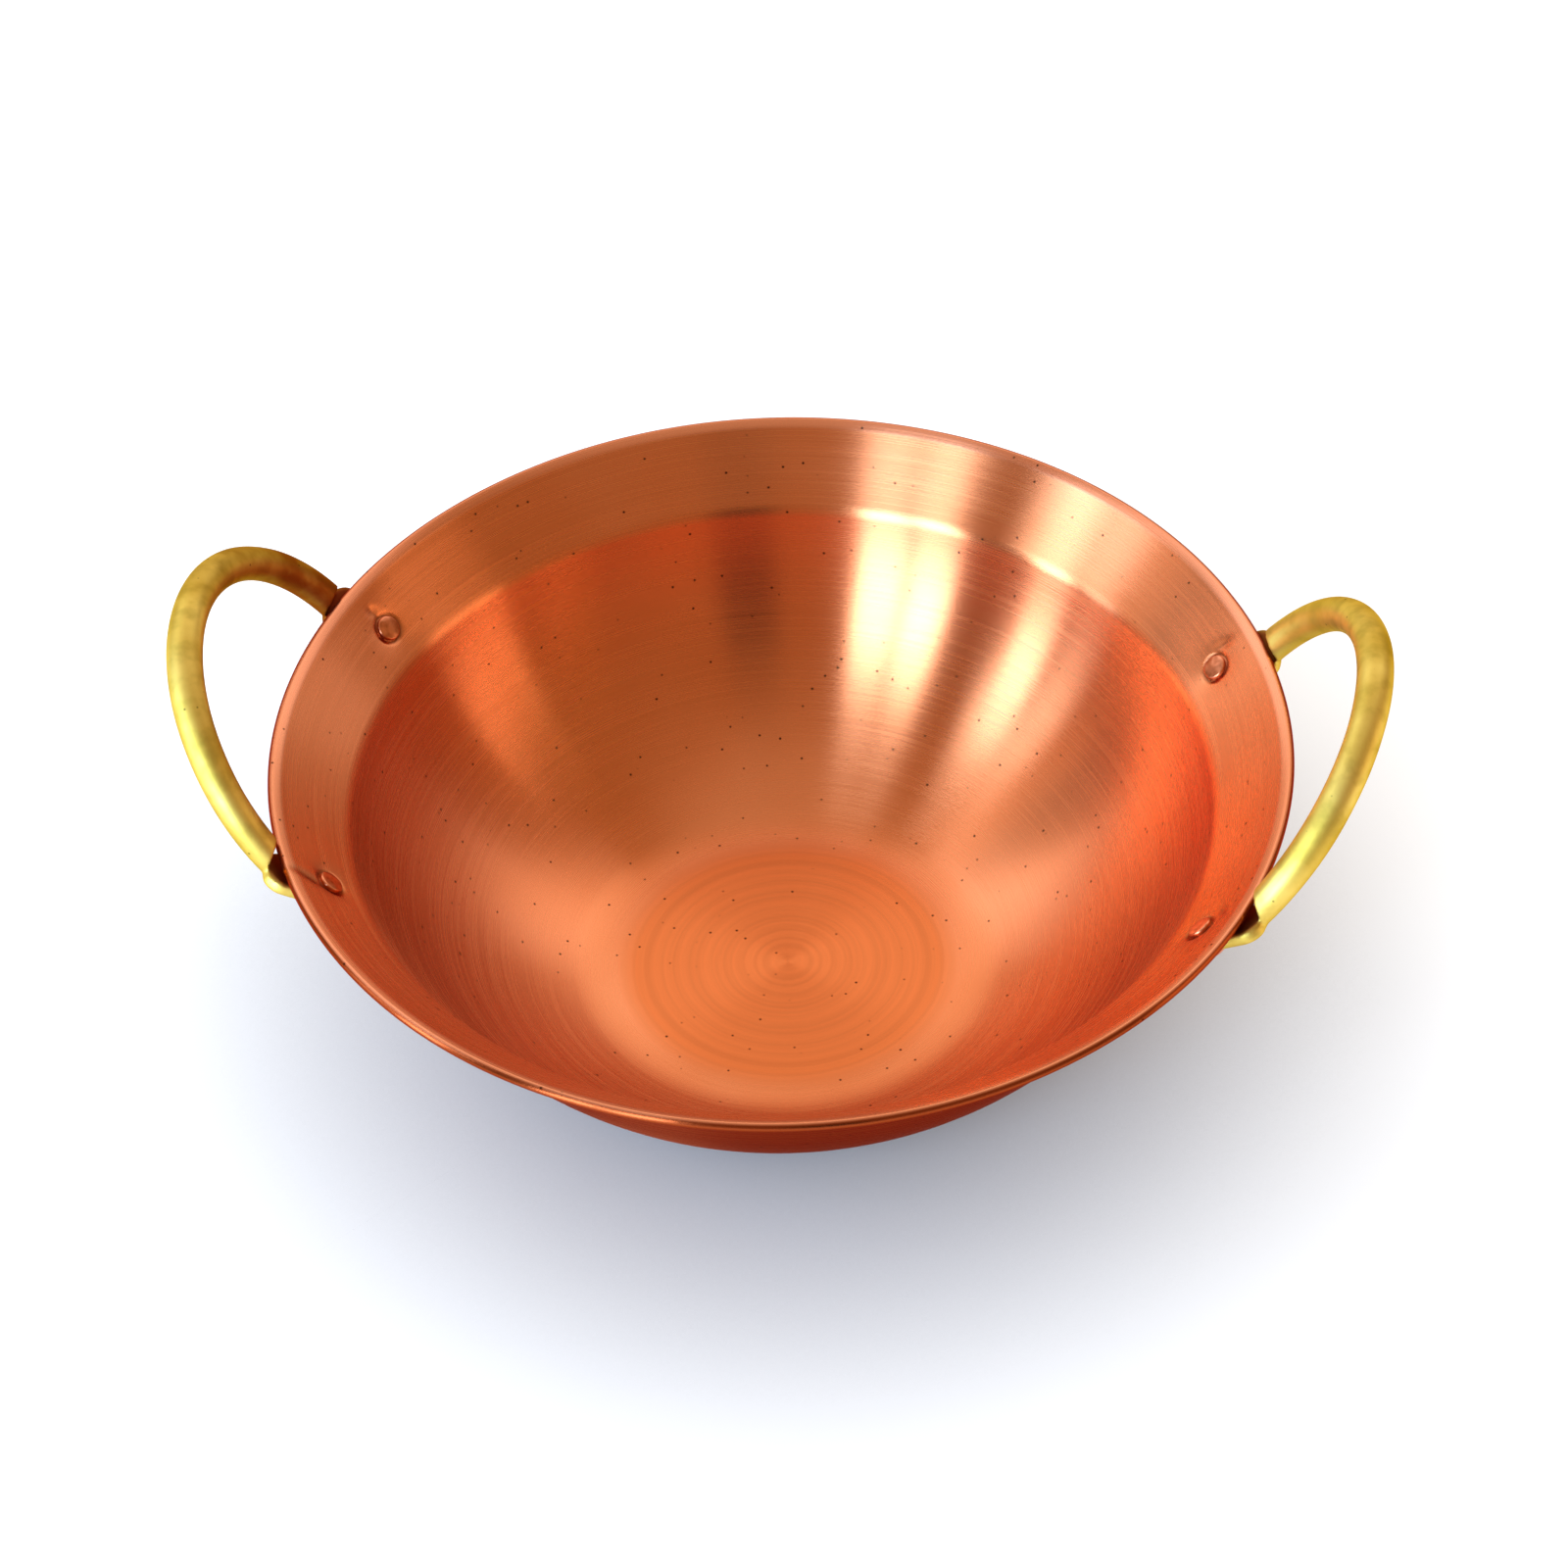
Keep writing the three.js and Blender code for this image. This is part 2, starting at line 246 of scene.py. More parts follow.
@dataclass(frozen=True)
class SpunCopper:
    """Copper sheet spun on a lathe and brushed while it turned.

    The brush leaves fine rings, so a light mirrored in the sheet smears into a streak that runs from the
    middle to the lip. Small pits and specks are left from the rolling of the sheet. The groove round each
    rivet head and the dents that the rivets' hammer left are darkened: partly dirt, partly painted shade.
    It is a little less than fully metallic, for the haze of worn metal.

    Real brush marks are about 0.1 mm apart and too fine to show, so the rings are drawn coarser. The marks
    of the lathe on the floor are wider, and the length of a brush mark holds at the ring radius.
    """

    light: str = "F89866"
    deep: str = "F18D59"
    floor: str = "E67D46"
    # Darker outside: partly a duller finish, partly painted shade that stands in for the dark floor
    # mirrored under the band
    outside: str = "A04622"
    lip: str = "F89D72"
    edge: str = "CE7448"
    # The specks' colour, also used for the darker marks round the rivets and in the dents, which are partly
    # dirt and partly painted shade
    speck: str = "4A1D0C"
    metallic: float = 0.95
    roughness: float = 0.265
    roughness_swing: float = 0.035
    floor_roughness: float = 0.2
    anisotropy: float = 0.97
    ring_spacing: float = 0.9
    ring_length: float = 140.0
    ring_radius: float = 127.0
    ring_layers: tuple[float, float] = (1.0, 0.4)
    fine_ring_share: float = 0.4
    ring_depth: float = 0.0008
    ring_shade: float = 0.045
    floor_ring_spacing: float = 2.4
    floor_ring_shade: float = 0.08
    floor_ring_span: tuple[float, float] = (0.35, 0.6)
    cloud_size: float = 70.0
    speck_spacing: float = 5.0
    speck_diameter: float = 1.0
    speck_core: float = 0.4
    floor_radius: float = 49.0
    floor_blur: float = 6.0
    lip_width: float = 2.6
    lip_blur: float = 0.8

    def material(self, lip_at: float) -> Material:
        """Builds the material. It reads the bowl's own map, whose U runs along the section in metres.

        Args:
            lip_at: How far along the section the top of the lip is.

        Returns:
            The material.
        """
        # Brushed copper: warm and bright, with mirrored lights drawn out to streaks across the rings
        made = bpy.data.materials.new("spun_copper")
        made.use_nodes = True
        tree = made.node_tree
        shader = tree.nodes["Principled BSDF"]
        place = add(tree, "ShaderNodeTexCoord").outputs["Object"]
        flat = add(tree, "ShaderNodeVectorMath", {0: place, 1: (1, 1, 0)}, operation="MULTIPLY").outputs[0]
        radius = add(tree, "ShaderNodeVectorMath", {0: flat}, operation="LENGTH").outputs["Value"]
        round_way = add(tree, "ShaderNodeVectorMath", {0: flat}, operation="NORMALIZE").outputs[0]
        turning = add(tree, "ShaderNodeUVMap", uv_map=TURNING_MAP).outputs["UV"]
        along = add(tree, "ShaderNodeSeparateXYZ", {0: turning}).outputs["X"]

        # Rings of the brush: noise that changes fast up the section and slowly round the pot
        layers = []
        for size in self.ring_layers:
            turns = self.ring_radius / self.ring_length / size
            slow = add(tree, "ShaderNodeVectorMath",
                       {0: round_way, "Scale": turns}, operation="SCALE").outputs[0]
            step = 1 / (self.ring_spacing * size * MM)
            fast = add(tree, "ShaderNodeMath", {0: along, 1: step}, operation="MULTIPLY").outputs[0]
            lift = add(tree, "ShaderNodeCombineXYZ", {"Z": fast}).outputs[0]
            where = add(tree, "ShaderNodeVectorMath", {0: slow, 1: lift}, operation="ADD").outputs[0]
            layer = add(tree, "ShaderNodeTexNoise",
                        {"Vector": where, "Scale": 1.0, "Detail": 2.0, "Roughness": 0.6})
            layers.append(layer.outputs["Fac"])
        ring = add(tree, "ShaderNodeMix",
                   {"Factor": self.fine_ring_share, NUMBER_A: layers[0], NUMBER_B: layers[1]}).outputs[0]

        # Colour: soft clouds, a deeper floor, a darker outside (partly a duller finish, partly painted
        # shade), a worn lip, darker and lighter rings
        cloud = add(tree, "ShaderNodeTexNoise",
                    {"Vector": place, "Scale": 1 / (self.cloud_size * MM), "Detail": 3.0}).outputs["Fac"]
        patch = add(tree, "ShaderNodeMapRange",
                    {"Value": cloud, FROM_LOW: MIDDLE[0], FROM_HIGH: MIDDLE[1]}).outputs[0]
        sheet = add(tree, "ShaderNodeMix",
                    {"Factor": patch, COLOUR_A: linear(self.light), COLOUR_B: linear(self.deep)},
                    data_type="RGBA").outputs[COLOUR_OUT]
        floor_edge, floor_blur = self.floor_radius * MM, self.floor_blur * MM
        lip_edge, lip_blur = self.lip_width * MM, self.lip_blur * MM
        from_lip = add(tree, "ShaderNodeMath", {0: along, 1: lip_at * MM}, operation="SUBTRACT").outputs[0]
        shares = []
        for value, start, end, tint in (
            (radius, floor_edge, floor_edge - floor_blur, self.floor),
            (from_lip, lip_edge + lip_blur, lip_edge, self.lip),
            (from_lip, 0.0, -lip_blur, self.outside),
        ):
            share = add(tree, "ShaderNodeMapRange",
                        {"Value": value, FROM_LOW: start, FROM_HIGH: end}).outputs[0]
            sheet = add(tree, "ShaderNodeMix", {"Factor": share, COLOUR_A: sheet, COLOUR_B: linear(tint)},
                        data_type="RGBA").outputs[COLOUR_OUT]
            shares.append(share)
        dark, bright = 1 - self.ring_shade, 1 + self.ring_shade / 2
        shade = add(tree, "ShaderNodeMapRange",
                    {"Value": ring, FROM_LOW: MOST[0], FROM_HIGH: MOST[1],
                     TO_LOW: dark, TO_HIGH: bright}).outputs[0]
        brushed = add(tree, "ShaderNodeVectorMath",
                      {0: sheet, "Scale": shade}, operation="SCALE").outputs[0]

        # Turning marks of the lathe on the floor: wider rings than the brush leaves
        wide = add(tree, "ShaderNodeTexNoise",
                   {"W": along, "Scale": 1 / (self.floor_ring_spacing * MM), "Detail": 2.0},
                   noise_dimensions="1D").outputs["Fac"]
        dark = 1 - self.floor_ring_shade
        low, high = self.floor_ring_span
        mark = add(tree, "ShaderNodeMapRange",
                   {"Value": wide, FROM_LOW: low, FROM_HIGH: high, TO_LOW: dark, TO_HIGH: 1.0}).outputs[0]
        marked = add(tree, "ShaderNodeVectorMath",
                     {0: brushed, "Scale": mark}, operation="SCALE").outputs[0]
        brushed = add(tree, "ShaderNodeMix", {"Factor": shares[0], COLOUR_A: brushed, COLOUR_B: marked},
                      data_type="RGBA").outputs[COLOUR_OUT]

        # Specks where the sheet passes close to a cell's middle, and the darker marks round the rivets and
        # in
        # the dents: partly dirt, partly painted shade
        cells = add(tree, "ShaderNodeTexVoronoi", {"Vector": place, "Scale": 1 / (self.speck_spacing * MM)})
        size = self.speck_diameter / 2 / self.speck_spacing
        speck = add(tree, "ShaderNodeMapRange",
                    {"Value": cells.outputs["Distance"], FROM_LOW: size,
                     FROM_HIGH: size * self.speck_core}).outputs[0]
        # Darker in the groove round each rivet head and in the dents: partly dirt, partly painted shade
        grime = add(tree, "ShaderNodeAttribute", attribute_name="grime").outputs["Fac"]
        soiled_and_shaded = add(tree, "ShaderNodeMath", {0: speck, 1: grime}, operation="MAXIMUM").outputs[0]
        colour = add(tree, "ShaderNodeMix",
                     {"Factor": soiled_and_shaded, COLOUR_A: brushed, COLOUR_B: linear(self.speck)},
                     data_type="RGBA").outputs[COLOUR_OUT]

        # Roughness and height follow the rings, and the floor is smoother
        low, high = self.roughness - self.roughness_swing, self.roughness + self.roughness_swing
        rough = add(tree, "ShaderNodeMapRange",
                    {"Value": ring, FROM_LOW: MOST[0], FROM_HIGH: MOST[1],
                     TO_LOW: low, TO_HIGH: high}).outputs[0]
        rough = add(tree, "ShaderNodeMix",
                    {"Factor": shares[0], NUMBER_A: rough, NUMBER_B: self.floor_roughness}).outputs[0]
        bump = add(tree, "ShaderNodeBump",
                   {"Height": ring, "Distance": self.ring_depth * MM, "Strength": 1.0})
        tangent = add(tree, "ShaderNodeTangent", direction_type="UV_MAP", uv_map=TURNING_MAP)
        shader.inputs["Metallic"].default_value = self.metallic
        shader.inputs["Anisotropic"].default_value = self.anisotropy
        shader.inputs["Specular Tint"].default_value = linear(self.edge)
        tree.links.new(colour, shader.inputs["Base Color"])
        tree.links.new(rough, shader.inputs["Roughness"])
        tree.links.new(bump.outputs[0], shader.inputs["Normal"])
        tree.links.new(tangent.outputs[0], shader.inputs["Tangent"])
        return made


@dataclass(frozen=True)
class CastBrass:
    """Brass cast in sand and rubbed smooth.

    It is a satin gold with duller, olive patches and a few dark spots, and brown where the handle carries a
    share for it: partly tarnish, partly a painted reflection of the copper. The faces of the feet that look
    at the bowl are painted a dark maroon, as painted shade under the lip with a painted reflection of the
    copper.
    The grain that sand leaves is finer than this one, which is drawn coarser so that it shows.
    """

    light: str = "F4D46C"
    deep: str = "DCB84C"
    olive: str = "94823A"
    # Brown on the left handle's back: partly tarnish, partly a painted reflection of the copper band
    brown: str = "9C5A20"
    tarnish: str = "5C4018"
    # Painted shade with a painted reflection of the copper, on the feet's faces that look at the bowl under
    # the lip
    grime: str = "7C2A16"
    edge: str = "C0A050"
    roughness: float = 0.52
    roughness_swing: float = 0.05
    patch_size: float = 16.0
    olive_size: float = 8.0
    olive_span: tuple[float, float] = (0.48, 0.76)
    olive_share: float = 0.4
    spot_spacing: float = 5.0
    spot_diameter: float = 0.9
    spot_core: float = 0.3
    spot_share: float = 0.85
    grain: float = 0.7
    grain_depth: float = 0.02

    def material(self) -> Material:
        """Builds the material.

        Returns:
            The material.
        """
        # Cast brass: a satin gold with wide soft highlights, mottled by tarnish
        made = bpy.data.materials.new("cast_brass")
        made.use_nodes = True
        tree = made.node_tree
        shader = tree.nodes["Principled BSDF"]
        place = add(tree, "ShaderNodeTexCoord").outputs["Object"]

        # Colour: wide patches of two golds, small olive stains, round spots, and painted shade with a
        # painted copper reflection under the lip
        patch = add(tree, "ShaderNodeTexNoise",
                    {"Vector": place, "Scale": 1 / (self.patch_size * MM), "Detail": 4.0}).outputs["Fac"]
        share = add(tree, "ShaderNodeMapRange",
                    {"Value": patch, FROM_LOW: MIDDLE[0], FROM_HIGH: MIDDLE[1]}).outputs[0]
        metal = add(tree, "ShaderNodeMix",
                    {"Factor": share, COLOUR_A: linear(self.light), COLOUR_B: linear(self.deep)},
                    data_type="RGBA").outputs[COLOUR_OUT]
        stain = add(tree, "ShaderNodeTexNoise",
                    {"Vector": place, "Scale": 1 / (self.olive_size * MM), "Detail": 3.0}).outputs["Fac"]
        low, high = self.olive_span
        stained = add(tree, "ShaderNodeMapRange",
                      {"Value": stain, FROM_LOW: low, FROM_HIGH: high,
                       TO_HIGH: self.olive_share}).outputs[0]
        metal = add(tree, "ShaderNodeMix",
                    {"Factor": stained, COLOUR_A: metal, COLOUR_B: linear(self.olive)},
                    data_type="RGBA").outputs[COLOUR_OUT]

        # Brown, where the handle carries a share for it, broken up by the patches: partly tarnish, partly a
        # painted reflection of the copper
        browning = add(tree, "ShaderNodeAttribute", attribute_name="browning").outputs["Fac"]
        browned_and_reflected = add(tree, "ShaderNodeMath", {0: browning, 1: share, 2: browning},
                      operation="MULTIPLY_ADD").outputs[0]
        metal = add(tree, "ShaderNodeMix",
                    {"Factor": browned_and_reflected, COLOUR_A: metal, COLOUR_B: linear(self.brown)},
                    data_type="RGBA").outputs[COLOUR_OUT]
        cells = add(tree, "ShaderNodeTexVoronoi", {"Vector": place, "Scale": 1 / (self.spot_spacing * MM)})
        size = self.spot_diameter / 2 / self.spot_spacing
        spot = add(tree, "ShaderNodeMapRange",
                   {"Value": cells.outputs["Distance"], FROM_LOW: size,
                    FROM_HIGH: size * self.spot_core, TO_HIGH: self.spot_share}).outputs[0]
        metal = add(tree, "ShaderNodeMix",
                    {"Factor": spot, COLOUR_A: metal, COLOUR_B: linear(self.tarnish)},
                    data_type="RGBA").outputs[COLOUR_OUT]
        # Painted shade, with a painted reflection of the copper, on the feet's faces under the lip
        grime = add(tree, "ShaderNodeAttribute", attribute_name="grime").outputs["Fac"]
        colour = add(tree, "ShaderNodeMix",
                     {"Factor": grime, COLOUR_A: metal, COLOUR_B: linear(self.grime)},
                     data_type="RGBA").outputs[COLOUR_OUT]

        # Height follows the grain, and roughness the patches
        grain = add(tree, "ShaderNodeTexNoise",
                    {"Vector": place, "Scale": 1 / (self.grain * MM), "Detail": 2.0}).outputs["Fac"]
        bump = add(tree, "ShaderNodeBump",
                   {"Height": grain, "Distance": self.grain_depth * MM, "Strength": 1.0})
        low, high = self.roughness - self.roughness_swing, self.roughness + self.roughness_swing
        rough = add(tree, "ShaderNodeMapRange",
                    {"Value": patch, FROM_LOW: MOST[0], FROM_HIGH: MOST[1],
                     TO_LOW: low, TO_HIGH: high}).outputs[0]
        shader.inputs["Metallic"].default_value = 1.0
        shader.inputs["Specular Tint"].default_value = linear(self.edge)
        tree.links.new(colour, shader.inputs["Base Color"])
        tree.links.new(rough, shader.inputs["Roughness"])
        tree.links.new(bump.outputs[0], shader.inputs["Normal"])
        return made


@dataclass(frozen=True)
class HammeredCopper:
    """Copper closed with a hammer: the bowl's colour, darker in small random patches about the size of its
    dents.
    """

    light: str = "F2956A"
    deep: str = "C46A40"
    roughness: float = 0.28
    dent_size: float = 2.2
    dark_span: tuple[float, float] = (0.4, 0.7)

    def material(self) -> Material:
        """Builds the material.

        Returns:
            The material.
        """
        # Hammered copper: as warm as the bowl, in small facets, with no streaks
        made = bpy.data.materials.new("rivet_copper")
        made.use_nodes = True
        tree = made.node_tree
        shader = tree.nodes["Principled BSDF"]
        place = add(tree, "ShaderNodeTexCoord").outputs["Object"]
        dent = add(tree, "ShaderNodeTexNoise",
                   {"Vector": place, "Scale": 1 / (self.dent_size * MM), "Detail": 2.0}).outputs["Fac"]
        lightest, darkest = self.dark_span
        share = add(tree, "ShaderNodeMapRange",
                    {"Value": dent, FROM_LOW: lightest, FROM_HIGH: darkest}).outputs[0]
        colour = add(tree, "ShaderNodeMix",
                     {"Factor": share, COLOUR_A: linear(self.light), COLOUR_B: linear(self.deep)},
                     data_type="RGBA").outputs[COLOUR_OUT]
        shader.inputs["Metallic"].default_value = 1.0
        shader.inputs["Roughness"].default_value = self.roughness
        tree.links.new(colour, shader.inputs["Base Color"])
        return made


# Bowl

@dataclass(frozen=True)
class SheetSection:
    """Half the bowl's section, as points of (radius, height) in millimetres.

    Radii and slopes are those of the inside of the sheet, and drops are measured from the top of the lip.
    """

    rim_radius: float
    rim_height: float
    sheet: float = 1.3
    lip_width: float = 3.5
    lip_thickness: float = 2.6
    lip_crown: float = 1.2
    crease_radius: float = 118.9
    crease_drop: float = 18.3
    crease_setback: float = 2.2
    floor_radius: float = 49.0
    knuckle_radius: float = 30.0
    knuckle_turn: float = math.radians(24)
    inside_steps: tuple[int, ...] = (16, 8, 36, 10, 44)
    outside_steps: tuple[int, ...] = (6, 5, 18, 6, 18)
    lip_steps: int = 12

    @property
    def crease(self) -> np.ndarray:
        """The corner between the wall and the flared band."""
        return np.array([self.crease_radius, self.rim_height - self.crease_drop])

    @property
    def lip_inner(self) -> np.ndarray:
        """Where the band ends and the lip begins."""
        return np.array([self.rim_radius - self.lip_width, self.rim_height - self.lip_crown])

    @property
    def lip_centre(self) -> np.ndarray:
        """The middle of the lip's round outer edge."""
        half = self.lip_thickness / 2
        return np.array([self.rim_radius - half, self.rim_height - half])

    @property
    def band_up(self) -> np.ndarray:
        """The direction up the band."""
        way = self.lip_inner - self.crease
        return way / np.linalg.norm(way)

    @property
    def band_out(self) -> np.ndarray:
        """The direction square to the band, outwards."""
        up = self.band_up
        return np.array([up[1], -up[0]])

    def side(self, distance: float, steps: tuple[int, ...]) -> np.ndarray:
        """Returns the inside of the sheet from the middle of the floor to the lip, moved outwards.

        Args:
            distance: How far it is moved.
            steps: The steps of the floor, the knuckle, the wall, the bend at the crease and the band.

        Returns:
            Points, one row each.
        """
        knuckle_centre = np.array([self.floor_radius, self.sheet + self.knuckle_radius])
        wall_start = DOWN + self.knuckle_turn
        knuckle_end = arc(knuckle_centre, self.knuckle_radius, DOWN, wall_start, 1)[1]
        chord = self.crease - knuckle_end
        slope = 2 * math.atan2(chord[1], chord[0]) - self.knuckle_turn
        wall_radius = chord[0] / (math.sin(slope) - math.sin(self.knuckle_turn))
        wall_centre = knuckle_end + (knuckle_centre - knuckle_end) * wall_radius / self.knuckle_radius
        wall_end = DOWN + slope - self.crease_setback / wall_radius

        height = self.sheet - distance
        floor = np.linspace([0.0, height], [self.floor_radius, height], steps[0] + 1)
        knuckle = arc(knuckle_centre, self.knuckle_radius + distance, DOWN, wall_start, steps[1])
        wall = arc(wall_centre, wall_radius + distance, wall_start, wall_end, steps[2])
        crease_out = np.array([math.cos(wall_end), math.sin(wall_end)]) + self.band_out
        corner = self.crease + distance * crease_out / np.linalg.norm(crease_out)
        band_start = self.crease + self.crease_setback * self.band_up + distance * self.band_out
        t = np.linspace(0, 1, steps[3] + 1)[:, None]
        bend = (1 - t) ** 2 * wall[-1] + 2 * t * (1 - t) * corner + t ** 2 * band_start
        band = np.linspace(band_start, self.lip_inner + distance * self.band_out, steps[4] + 1)
        return np.concatenate([floor, knuckle[1:], wall[1:], bend[1:], band[1:]])

    def outside(self, clearance: float = 0.0) -> np.ndarray:
        """Draws the outside of the sheet and of the lip.

        Args:
            clearance: How far it is grown.

        Returns:
            Points from the middle of the base to the top of the lip, one row each.
        """
        side = self.side(self.sheet + clearance, self.outside_steps)
        lip = arc(self.lip_centre, self.lip_thickness / 2 + clearance, DOWN, -DOWN, self.lip_steps)
        under = side[-1] + self.band_up * (lip[0][1] - side[-1][1]) / self.band_up[1]
        return np.concatenate([side[:-1], [under], lip])

    def lip_at(self) -> float:
        """Returns how far along the whole section the top of the lip is."""
        return float(np.linalg.norm(np.diff(self.outside(), axis=0), axis=1).sum())

    def outline(self) -> np.ndarray:
        """Draws the whole section.

        Returns:
            Points from the base's middle over the lip to the floor's middle, one row each.
        """
        top = np.array([self.lip_centre[0], self.rim_height])
        shoulder = np.array([self.rim_radius - self.lip_width / 2, self.rim_height])
        t = np.linspace(0, 1, self.lip_steps // 2 + 1)[:, None]
        crown = (1 - t) ** 2 * top + 2 * t * (1 - t) * shoulder + t ** 2 * self.lip_inner
        return np.concatenate([self.outside(), crown[1:], self.side(0.0, self.inside_steps)[-2::-1]])


def turned(name: str, outline: np.ndarray, angles: np.ndarray) -> Mesh:
    """Turns a section about Z.

    Its map has the distance along the section as U and the share of the turn as V.

    Args:
        name: The mesh's name.
        outline: Points of (radius, height) that start and end on the axis, in millimetres.
        angles: The angles of the columns, rising through one turn.

    Returns:
        The mesh, with its vertices ring by ring between the two on the axis.
    """
    rings, columns = len(outline) - 2, len(angles)
    spoke = np.stack([np.cos(angles), np.sin(angles)], axis=1)
    grid = np.empty((rings, columns, 3))
    grid[:, :, :2] = outline[1:-1, 0, None, None] * spoke
    grid[:, :, 2] = outline[1:-1, 1, None]
    first, last = [0, 0, outline[0][1]], [0, 0, outline[-1][1]]
    points = np.concatenate([[first], grid.reshape(-1, 3), [last]]) * MM

    index = 1 + np.arange(rings * columns).reshape(rings, columns)
    after = np.roll(index, -1, axis=1)
    quads = np.stack([index[:-1], after[:-1], after[1:], index[1:]], axis=-1).reshape(-1, 4)
    base = np.stack([np.zeros(columns, int), after[0], index[0]], axis=-1)
    top = np.stack([index[-1], after[-1], np.full(columns, len(points) - 1)], axis=-1)
    mesh = bpy.data.meshes.new(name)
    mesh.from_pydata(points.tolist(), [], quads.tolist() + base.tolist() + top.tolist())

    steps = np.linalg.norm(np.diff(outline, axis=0), axis=1)
    along = np.concatenate([[0], np.cumsum(steps)]) * MM
    share = angles / FULL_TURN
    next_share = np.append(share[1:], share[0] + 1)
    middle = (share + next_share) / 2
    low, high = np.repeat(along[1:-2], columns), np.repeat(along[2:-1], columns)
    here, there = np.tile(share, rings - 1), np.tile(next_share, rings - 1)
    quad_uv = np.stack([low, here, low, there, high, there, high, here], axis=-1)
    ring_one, ring_last = np.full(columns, along[1]), np.full(columns, along[-2])
    base_uv = np.stack([np.zeros(columns), middle, ring_one, next_share, ring_one, share], axis=-1)
    end = np.full(columns, along[-1])
    top_uv = np.stack([ring_last, share, ring_last, next_share, end, middle], axis=-1)
    uv = np.concatenate([quad_uv.ravel(), base_uv.ravel(), top_uv.ravel()])
    mesh.uv_layers.new(name=TURNING_MAP).data.foreach_set("uv", uv.astype(np.float32))
    return mesh


class Side(Enum):
    """The end of X that a handle is on, as the turn about Z that brings it there."""

    RIGHT = 0.0
    LEFT = math.pi


@dataclass(frozen=True)
class Foot:
    """A foot of a handle: the handle's side, and which of ENDS it is before the handle is turned there."""

    side: Side
    end: int

    @property
    def name(self) -> str:
        """The name of the rivet in this foot."""
        back = (self.end > 0) == (self.side is Side.RIGHT)
        return f"rivet_{self.side.name.lower()}_{'back' if back else 'front'}"


ENDS = (1, -1)
FEET = [Foot(side, end) for side in Side for end in ENDS]


@dataclass(frozen=True)
class Dent:
    """A dent beside a rivet.

    Its place is along the rim and up the band from the rivet. Its turn, size, depth and darkening follow,
    the darkening partly dirt and partly painted shade.
    """

    rivet: str
    along: float
    up: float
    turn: float
    length: float
    width: float
    depth: float
    grime: float


@dataclass(frozen=True)
class Seats:
    """Where the rivets go through the band, and how the feet stand there."""

    section: SheetSection
    spacing: float = 102.5
    setback: float = 12.8
    fit: float = 0.3
    height: float = 5.6
    pad_splay: float = math.radians(12)

    def angle(self, foot: Foot) -> float:
        """Returns a rivet's angle round Z."""
        return foot.side.value + foot.end * math.asin(self.spacing / 2 / self.place()[0])

    def place(self) -> np.ndarray:
        """Returns a rivet's place on the underside of the band, as (radius, height)."""
        section = self.section
        return section.lip_inner - self.setback * section.band_up + section.sheet * section.band_out

    def matrix(self, foot: Foot) -> Matrix:
        """Places a rivet.

        Args:
            foot: The foot that it holds.

        Returns:
            Its frame in millimetres: X along the rim, Y up the band, Z outwards.
        """
        angle = self.angle(foot)
        ways = (self.section.band_up, self.section.band_out, self.place())
        up, out, place = [swung(way, angle) for way in ways]
        turn = Matrix((up.cross(out), up, out)).transposed()
        return Matrix.Translation(place) @ turn.to_4x4()

    def lean(self, foot: Foot) -> float:
        """Returns the turn, in the plane of the band, that makes a foot run straight out along X."""
        turn = Matrix.Rotation(-foot.side.value, 3, "Z") @ self.matrix(foot).to_3x3()
        return math.atan2(turn[1][1], turn[1][0])

    def pad_matrix(self, foot: Foot) -> Matrix:
        """Places a pad.

        Args:
            foot: Its foot.

        Returns:
            Its frame in millimetres: X across it, Y along it and Z through it from its inner face.
        """
        lean = Matrix.Rotation(self.lean(foot), 4, "Z")
        splay = Matrix.Rotation(self.pad_splay, 4, "X")
        return self.matrix(foot) @ Matrix.Translation((0, 0, self.fit)) @ lean @ splay


